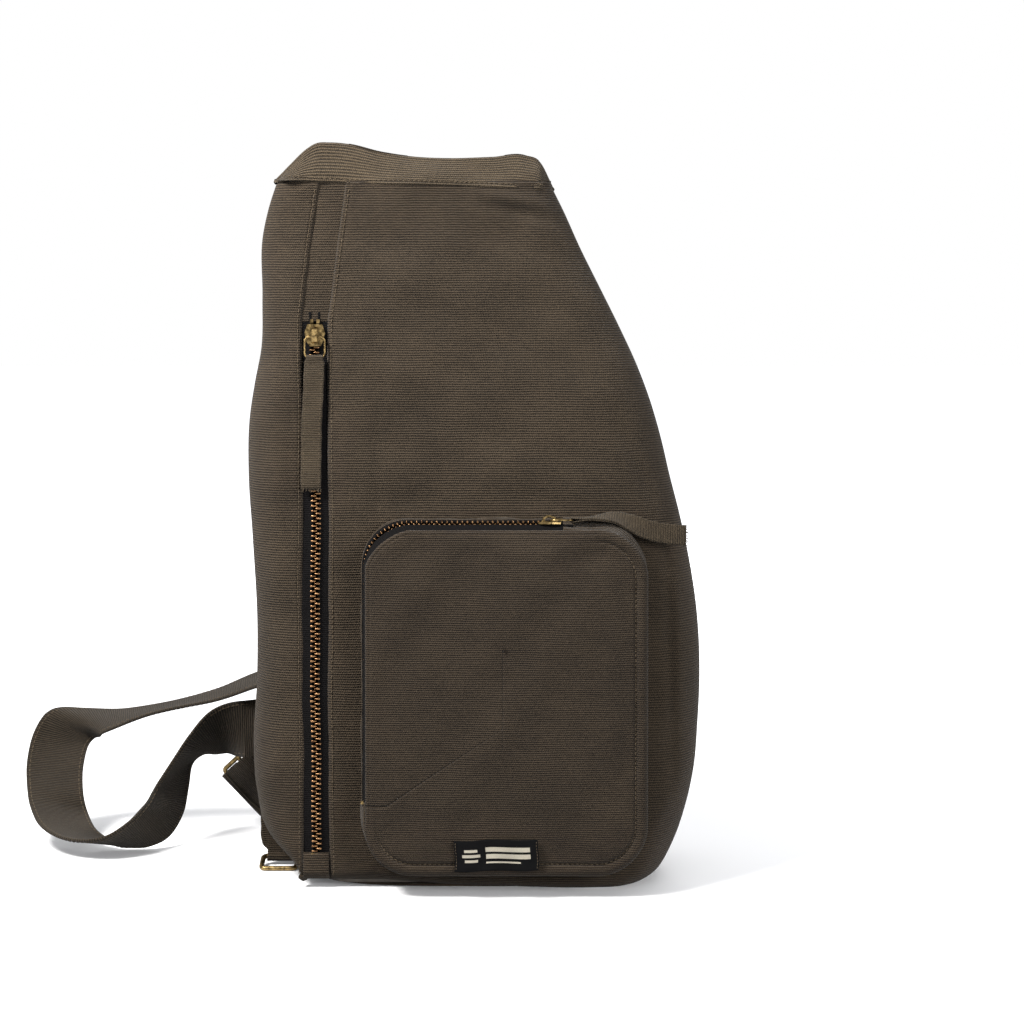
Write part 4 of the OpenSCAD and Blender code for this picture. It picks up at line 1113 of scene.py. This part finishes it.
TAB_BAR = np.array([-125.8, 8.0, 5.4])
tab_left = [[-8.5, 3.4], [-8.8, 5.2], [-11.8, 8.5], [-12.6, 14], [-12.6, 20], [-12.5, 26], [-12.2, 31]]
tab_right = [[8.5, 3.4], [9.0, 5.5], [8.0, 9.5], [1.5, 16], [-1.2, 22], [-3.5, 28], [-5.5, 34]]
left_line = smooth_rows([[TAB_BAR[0] + x, 8.0, TAB_BAR[2] + z] for x, z in tab_left], 4)
right_line = smooth_rows([[TAB_BAR[0] + x, 8.0, TAB_BAR[2] + z] for x, z in tab_right], 4)
folded_tab("left_ring_tab", TAB_BAR, left_line, right_line, 0.9, 2.6, BODY_CANVAS, "bag",
           ["corner_tab_left"], loop_share=1.0, waver=0.12, thick=1.3)
RIGHT_BAR = np.array([104.4, 62.0, 26.0])
aim = np.array([math.cos(math.radians(-62)), math.sin(math.radians(-62)), 0.0])
s = np.linspace(3.2, 19.0, 10)[:, None]
right_tab_low = RIGHT_BAR + aim * s - np.array([0, 0, 15.0])
right_tab_high = RIGHT_BAR + aim * s + np.array([0, 0, 15.0])
folded_tab("right_ring_tab", RIGHT_BAR, right_tab_low, right_tab_high, 0.9, 2.6, BODY_CANVAS, "bag",
           ["corner_tab_right"], loop_share=1.0, waver=0.12, thick=1.3)

# %% [markdown]
# ## The strap
# The strap is a ruled band: each row gives its two edges, and the cloth between them is straight. It
# comes down behind the bag from the top, lies in a loop on the floor at the left, turns back round
# the tri-glide, and its lower part goes behind the bag to the ring at the right corner.

# %% Strap
STRAP_W = 38.0
STRAP_T = 2.4
STRAP_ROWS = [
    [[-1, 20, 436], [-39, 20, 436]], [[-3, 29, 415], [-41, 29, 415]], [[-8, 43, 380], [-46, 43, 380]],
    [[-16, 56, 320], [-54, 56, 320]], [[-30, 66, 250], [-68, 64, 250]], [[-48, 76, 190], [-84, 68, 186]],
    [[-76, 90, 150], [-101, 64, 138]], [[-112, 101, 122], [-124, 66, 114]],
    [[-155, 108, 105], [-151, 70, 103]], [[-177, 112, 95], [-173, 74, 95]], [[-200, 116, 88], [-195, 78, 89]],
    [[-226, 118, 83], [-221, 80, 82]], [[-248, 116, 80], [-240, 79, 76]], [[-270, 110, 81], [-251, 79, 72]],
    [[-287, 101, 82], [-258, 92, 67]], [[-296, 97, 77], [-261, 98, 63]], [[-302, 93, 64], [-265, 97, 57]],
    [[-304, 84, 48], [-266, 85, 44]], [[-301, 72, 34], [-264, 72, 30]], [[-297, 60, 25], [-260, 67, 19]],
    [[-289, 44, 18], [-252, 52, 11]], [[-273, 26, 14], [-243, 48, 5]], [[-256, 15, 14], [-234, 46, 2]],
    [[-239, 12, 17], [-226, 46, 2]], [[-225, 15, 26], [-216, 48, 2]], [[-218, 23, 33], [-204, 52, 7]],
    [[-215, 32, 36], [-196, 63, 20]], [[-213, 39, 40], [-193, 72, 36]], [[-209, 44, 47], [-191, 77, 50]],
    [[-200, 48, 61], [-184, 82, 56]], [[-189, 56, 76], [-176, 84, 56]], [[-179, 64, 87], [-168, 83, 57]],
    [[-168, 72, 92], [-162, 79, 56]], [[-154, 80, 93], [-155, 74, 56]]]
GLIDE_C = np.array([-159.0, 104.0, 25.0])
GLIDE_D = np.array([0.681998, 0.0, -0.731354])
GLIDE_E = np.array([0.731354, 0.0, 0.681998])
BAR_STEP = 13.0
WRAP = 1.6 + STRAP_T / 2 + 0.3
RING_BAR = np.array([87.0, 62.0, 26.0])


def glide_row(e, y):
    c = GLIDE_C + GLIDE_E * e + np.array([0, y, 0])
    return [c - GLIDE_D * STRAP_W / 2, c + GLIDE_D * STRAP_W / 2]


def ring_row(a, b):
    c = RING_BAR + np.array([a, b, 0.0])
    return [c + np.array([0, 0, STRAP_W / 2]), c - np.array([0, 0, STRAP_W / 2])]


def round_bar(row, angles):
    return [row(WRAP * math.cos(math.radians(a)), WRAP * math.sin(math.radians(a))) for a in angles]


TURN_ROWS = [
    [[-155.2, 80, 93], [-156.2, 74, 56]], [[-140, 83, 94], [-143, 79, 56]], [[-126, 87, 92], [-128, 86, 54]],
    [[-114, 92, 86], [-113, 92, 48]], [[-112, 97.5, 82], [-105, 97.5, 45]],
    [[-120, 98.5, 78], [-106, 98.5, 43]],
    glide_row(40, -6.6), glide_row(2 * BAR_STEP, -7.2), glide_row(BAR_STEP, -7),
    *round_bar(glide_row, range(-60, -301, -30)),
    glide_row(9, WRAP - 0.2)]
LOWER_ROWS = [
    glide_row(7.2, -1.4), glide_row(BAR_STEP - 2, -WRAP), glide_row(BAR_STEP + 2, -WRAP),
    glide_row(1.5 * BAR_STEP, 0),
    glide_row(2 * BAR_STEP - 2, WRAP), glide_row(2 * BAR_STEP + 2, WRAP), glide_row(44, 4),
    [[-128, 109, 85], [-106, 109, 54]], [[-90, 107, 88], [-78, 107, 52]], [[-50, 102, 80], [-46, 102, 43]],
    [[0, 93, 64], [0, 93, 26]], [[45, 82, 50], [45, 82, 12]], [[70, 73.5, 46], [70, 73.5, 8]],
    *round_bar(ring_row, range(110, -111, -28)), ring_row(-12, -WRAP - 0.6), ring_row(-30, -WRAP + 3)]


def strap_piece(name, rows, nodes, steps=6, wave=0.5, seed=1, bends=None):
    """One run of the strap, 2.4 mm thick, its edges softened by a bevel. Returns its middle surface."""
    rows = smooth_rows(rows, steps)
    middle = rows.mean(axis=1)
    across = unit(rows[:, 1] - rows[:, 0])
    ahead = unit(np.gradient(middle, axis=0))
    normal = unit(np.cross(ahead, across))
    u = np.linspace(-1, 1, 17)[None, :]
    run = np.concatenate([[0.0], np.cumsum(np.linalg.norm(np.diff(middle, axis=0), axis=1))])[:, None]
    calm = np.clip(np.minimum(run, run[-1] - run) / 20.0, 0, 1)
    lift = wave * calm * (np.sin(run / 23.0 + seed) * u + 0.6 * np.sin(run / 13.0 + 2 * seed + 2 * u))
    points = middle[:, None] + across[:, None] * (u * STRAP_W / 2)[...,
                                                                   None] + normal[:, None] * lift[..., None]
    uv = np.stack(np.broadcast_arrays(u * STRAP_W / 2, run), axis=-1)
    points[..., 2] = np.maximum(points[..., 2], STRAP_T / 2 + 0.15)
    strap = thicken(grid_object(name, points, uv=uv), STRAP_T - 0.5, 0.0)
    bevel = strap.modifiers.new("soft edge", "BEVEL")
    bevel.width = 0.0006
    bevel.segments = 2
    bevel.angle_limit = math.radians(60)
    if bends is None:
        finish_piece(strap, STRAP_CANVAS, "bag", nodes)
    else:
        strap.data.materials.append(STRAP_CANVAS)
        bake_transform(strap)
        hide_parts(*nodes)
    return points, normal, strap


def strap_stitches(name, points, normal):
    """Stitches along both edges, on both faces."""
    for face, sign in (("a", 1), ("b", -1)):
        surface = points + normal[:, None] * sign * (STRAP_T / 2 - 0.22)
        edge_stitches(f"{name}_{face}", surface, normal * sign, "bag", share=0.065, pitch=3.4,
                      size=(2.6, 0.6, 0.5))


strap_points, strap_normal, strap = strap_piece("strap_long", STRAP_ROWS, ["strap"], 8, 0.7, 1)
strap_stitches("strap_stitch", strap_points, strap_normal)
strap_piece(
    "strap_turn_end", TURN_ROWS, ["strap_turn"], 6, 0.0, 2,
    ("bag", "adjuster", (-0.125, 0.1, 0.055), (-0.150, 0.1, 0.033)))
strap_piece(
    "strap_lower_left", LOWER_ROWS[:11], ["strap_lower"], 6, 0.0, 3,
    ("adjuster", "bag", (-0.135, 0.105, 0.045), (-0.1, 0.105, 0.06)))
strap_piece(
    "strap_lower_right", LOWER_ROWS[10:], ["strap_lower"], 6, 0.0, 3,
    ("bag", "ring_right", (0.05, 0.08, 0.03), (0.08, 0.07, 0.028)))

# %% Anchor patch
def anchor_patch():
    z = np.linspace(BODY_TOP - 34, BODY_TOP - 6, 12)[:, None]
    x = np.linspace(4, -44, 20)[None, :]
    y = back_y(z) + 1.6 + ripple(x, z, [(190, 1.2), (120, .8), (70, .4), (40, .2)], 11) + 0 * x
    return np.stack([x + 0 * z, y + 0.8, z + 0 * x], axis=-1)


patch_points = anchor_patch()
patch = thicken(grid_object("anchor_patch", patch_points), 1.2)
finish_piece(patch, BODY_CANVAS, "bag", ["strap_anchor_patch"])
rim = np.concatenate([patch_points[1, 1:-1], patch_points[1:-1, -2], patch_points[-2, -2:0:-1],
                      patch_points[-2:0:-1, 1]])
stitches("anchor_patch_stitch", rim + np.array([0, 0.2, 0]), (0, 1, 0))

# %% [markdown]
# ## Metal parts
# Sliders, rings, stops and the tri-glide are exact CAD shapes. They keep their place and get brass.

# %% Metal and board
def dress(name, material):
    """A CAD node keeps its shape and gets a finish."""
    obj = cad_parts[name]
    obj.data.materials.clear()
    obj.data.materials.append(material)


for part in ("main_zip_slider", "main_zip_ring", "pocket_zip_slider", "pocket_zip_ring", "tri_glide",
             "corner_ring_left", "corner_ring_right", "main_zip_top_stops", "main_zip_bottom_stop",
             "pocket_zip_stops"):
    dress(part, BRASS)
dress("base_board", BOARD)

# %% [markdown]
# ## Floor and light
# A white table and a white room, with one large soft light high on the left, one weaker on the right and
# one from behind. The shadow stays soft and faintly blue.

# %% Floor and light
def make_floor():
    mesh = bpy.data.meshes.new("floor")
    mesh.from_pydata([(-6, -6, 0), (6, -6, 0), (6, 6, 0), (-6, 6, 0)], [], [(0, 1, 2, 3)])
    floor = link(bpy.data.objects.new("floor", mesh))
    material, tree, shader = new_material("white table", 0.8)
    shader.inputs["Base Color"].default_value = (0.93, 0.93, 0.94, 1.0)
    shader.inputs["Specular IOR Level"].default_value = 0.1
    shader.inputs["Emission Color"].default_value = (0.96, 0.975, 1.0, 1.0)
    # the table stays white far from the lamps
    place = node(tree, "ShaderNodeTexCoord")
    away = node(tree, "ShaderNodeVectorMath", {"operation": "LENGTH"}, {0: place.outputs["Object"]})
    far = math_node(tree, "MULTIPLY", away.outputs["Value"], 0.9)
    glow = math_node(tree, "MINIMUM",
                     math_node(tree, "MAXIMUM", math_node(tree, "SUBTRACT", far, 0.42), 0.08), 0.9)
    tree.links.new(glow, shader.inputs["Emission Strength"])
    floor.visible_diffuse = False
    floor.data.materials.append(material)


def area_light(name, place, target, size, power, colour=(1, 1, 1)):
    data = bpy.data.lights.new(name, "AREA")
    data.shape = "RECTANGLE"
    data.size, data.size_y = size
    data.energy = power
    data.color = colour
    light = link(bpy.data.objects.new(name, data))
    light.location = place
    aim = np.asarray(place, float) - np.asarray(target, float)
    flat = math.hypot(aim[0], aim[1])
    light.rotation_euler = (math.atan2(flat, aim[2]), 0.0, math.atan2(aim[0], -aim[1]))


def make_dome():
    """The white wall of the room, seen only by the camera, so that it adds no light."""
    bpy.ops.mesh.primitive_uv_sphere_add(segments=48, ring_count=24, radius=8.0)
    dome = bpy.context.object
    dome.name = "room"
    material = bpy.data.materials.new("white room")
    material.use_nodes = True
    tree = material.node_tree
    tree.nodes.clear()
    glow = node(tree, "ShaderNodeEmission", {"Color": (1, 1, 1, 1), "Strength": 1.0})
    node(tree, "ShaderNodeOutputMaterial", {}, {"Surface": glow.outputs[0]})
    dome.data.materials.append(material)
    for ray in ("diffuse", "glossy", "transmission", "volume_scatter", "shadow"):
        setattr(dome, f"visible_{ray}", False)


make_floor()
make_dome()
world = bpy.data.worlds.new("room light")
bpy.context.scene.world = world
world.use_nodes = True
world.node_tree.nodes["Background"].inputs["Color"].default_value = (0.95, 0.97, 1.0, 1.0)
world.node_tree.nodes["Background"].inputs["Strength"].default_value = 0.34
area_light("key", (-0.62, -0.46, 0.98), (0.0, -0.03, 0.28), (0.32, 0.32), 26.0, (1.0, 0.985, 0.96))
area_light("top", (0.1, 0.3, 2.2), (0.0, 0.0, 0.0), (2.4, 2.0), 14.0)
area_light("back", (0.5, 1.5, 1.1), (0.0, 0.0, 0.2), (1.0, 1.0), 16.0)
area_light("fill", (1.2, -1.5, 0.7), (0.0, 0.0, 0.2), (0.8, 0.8), 27.0)
bpy.context.scene.view_settings.view_transform = "Standard"
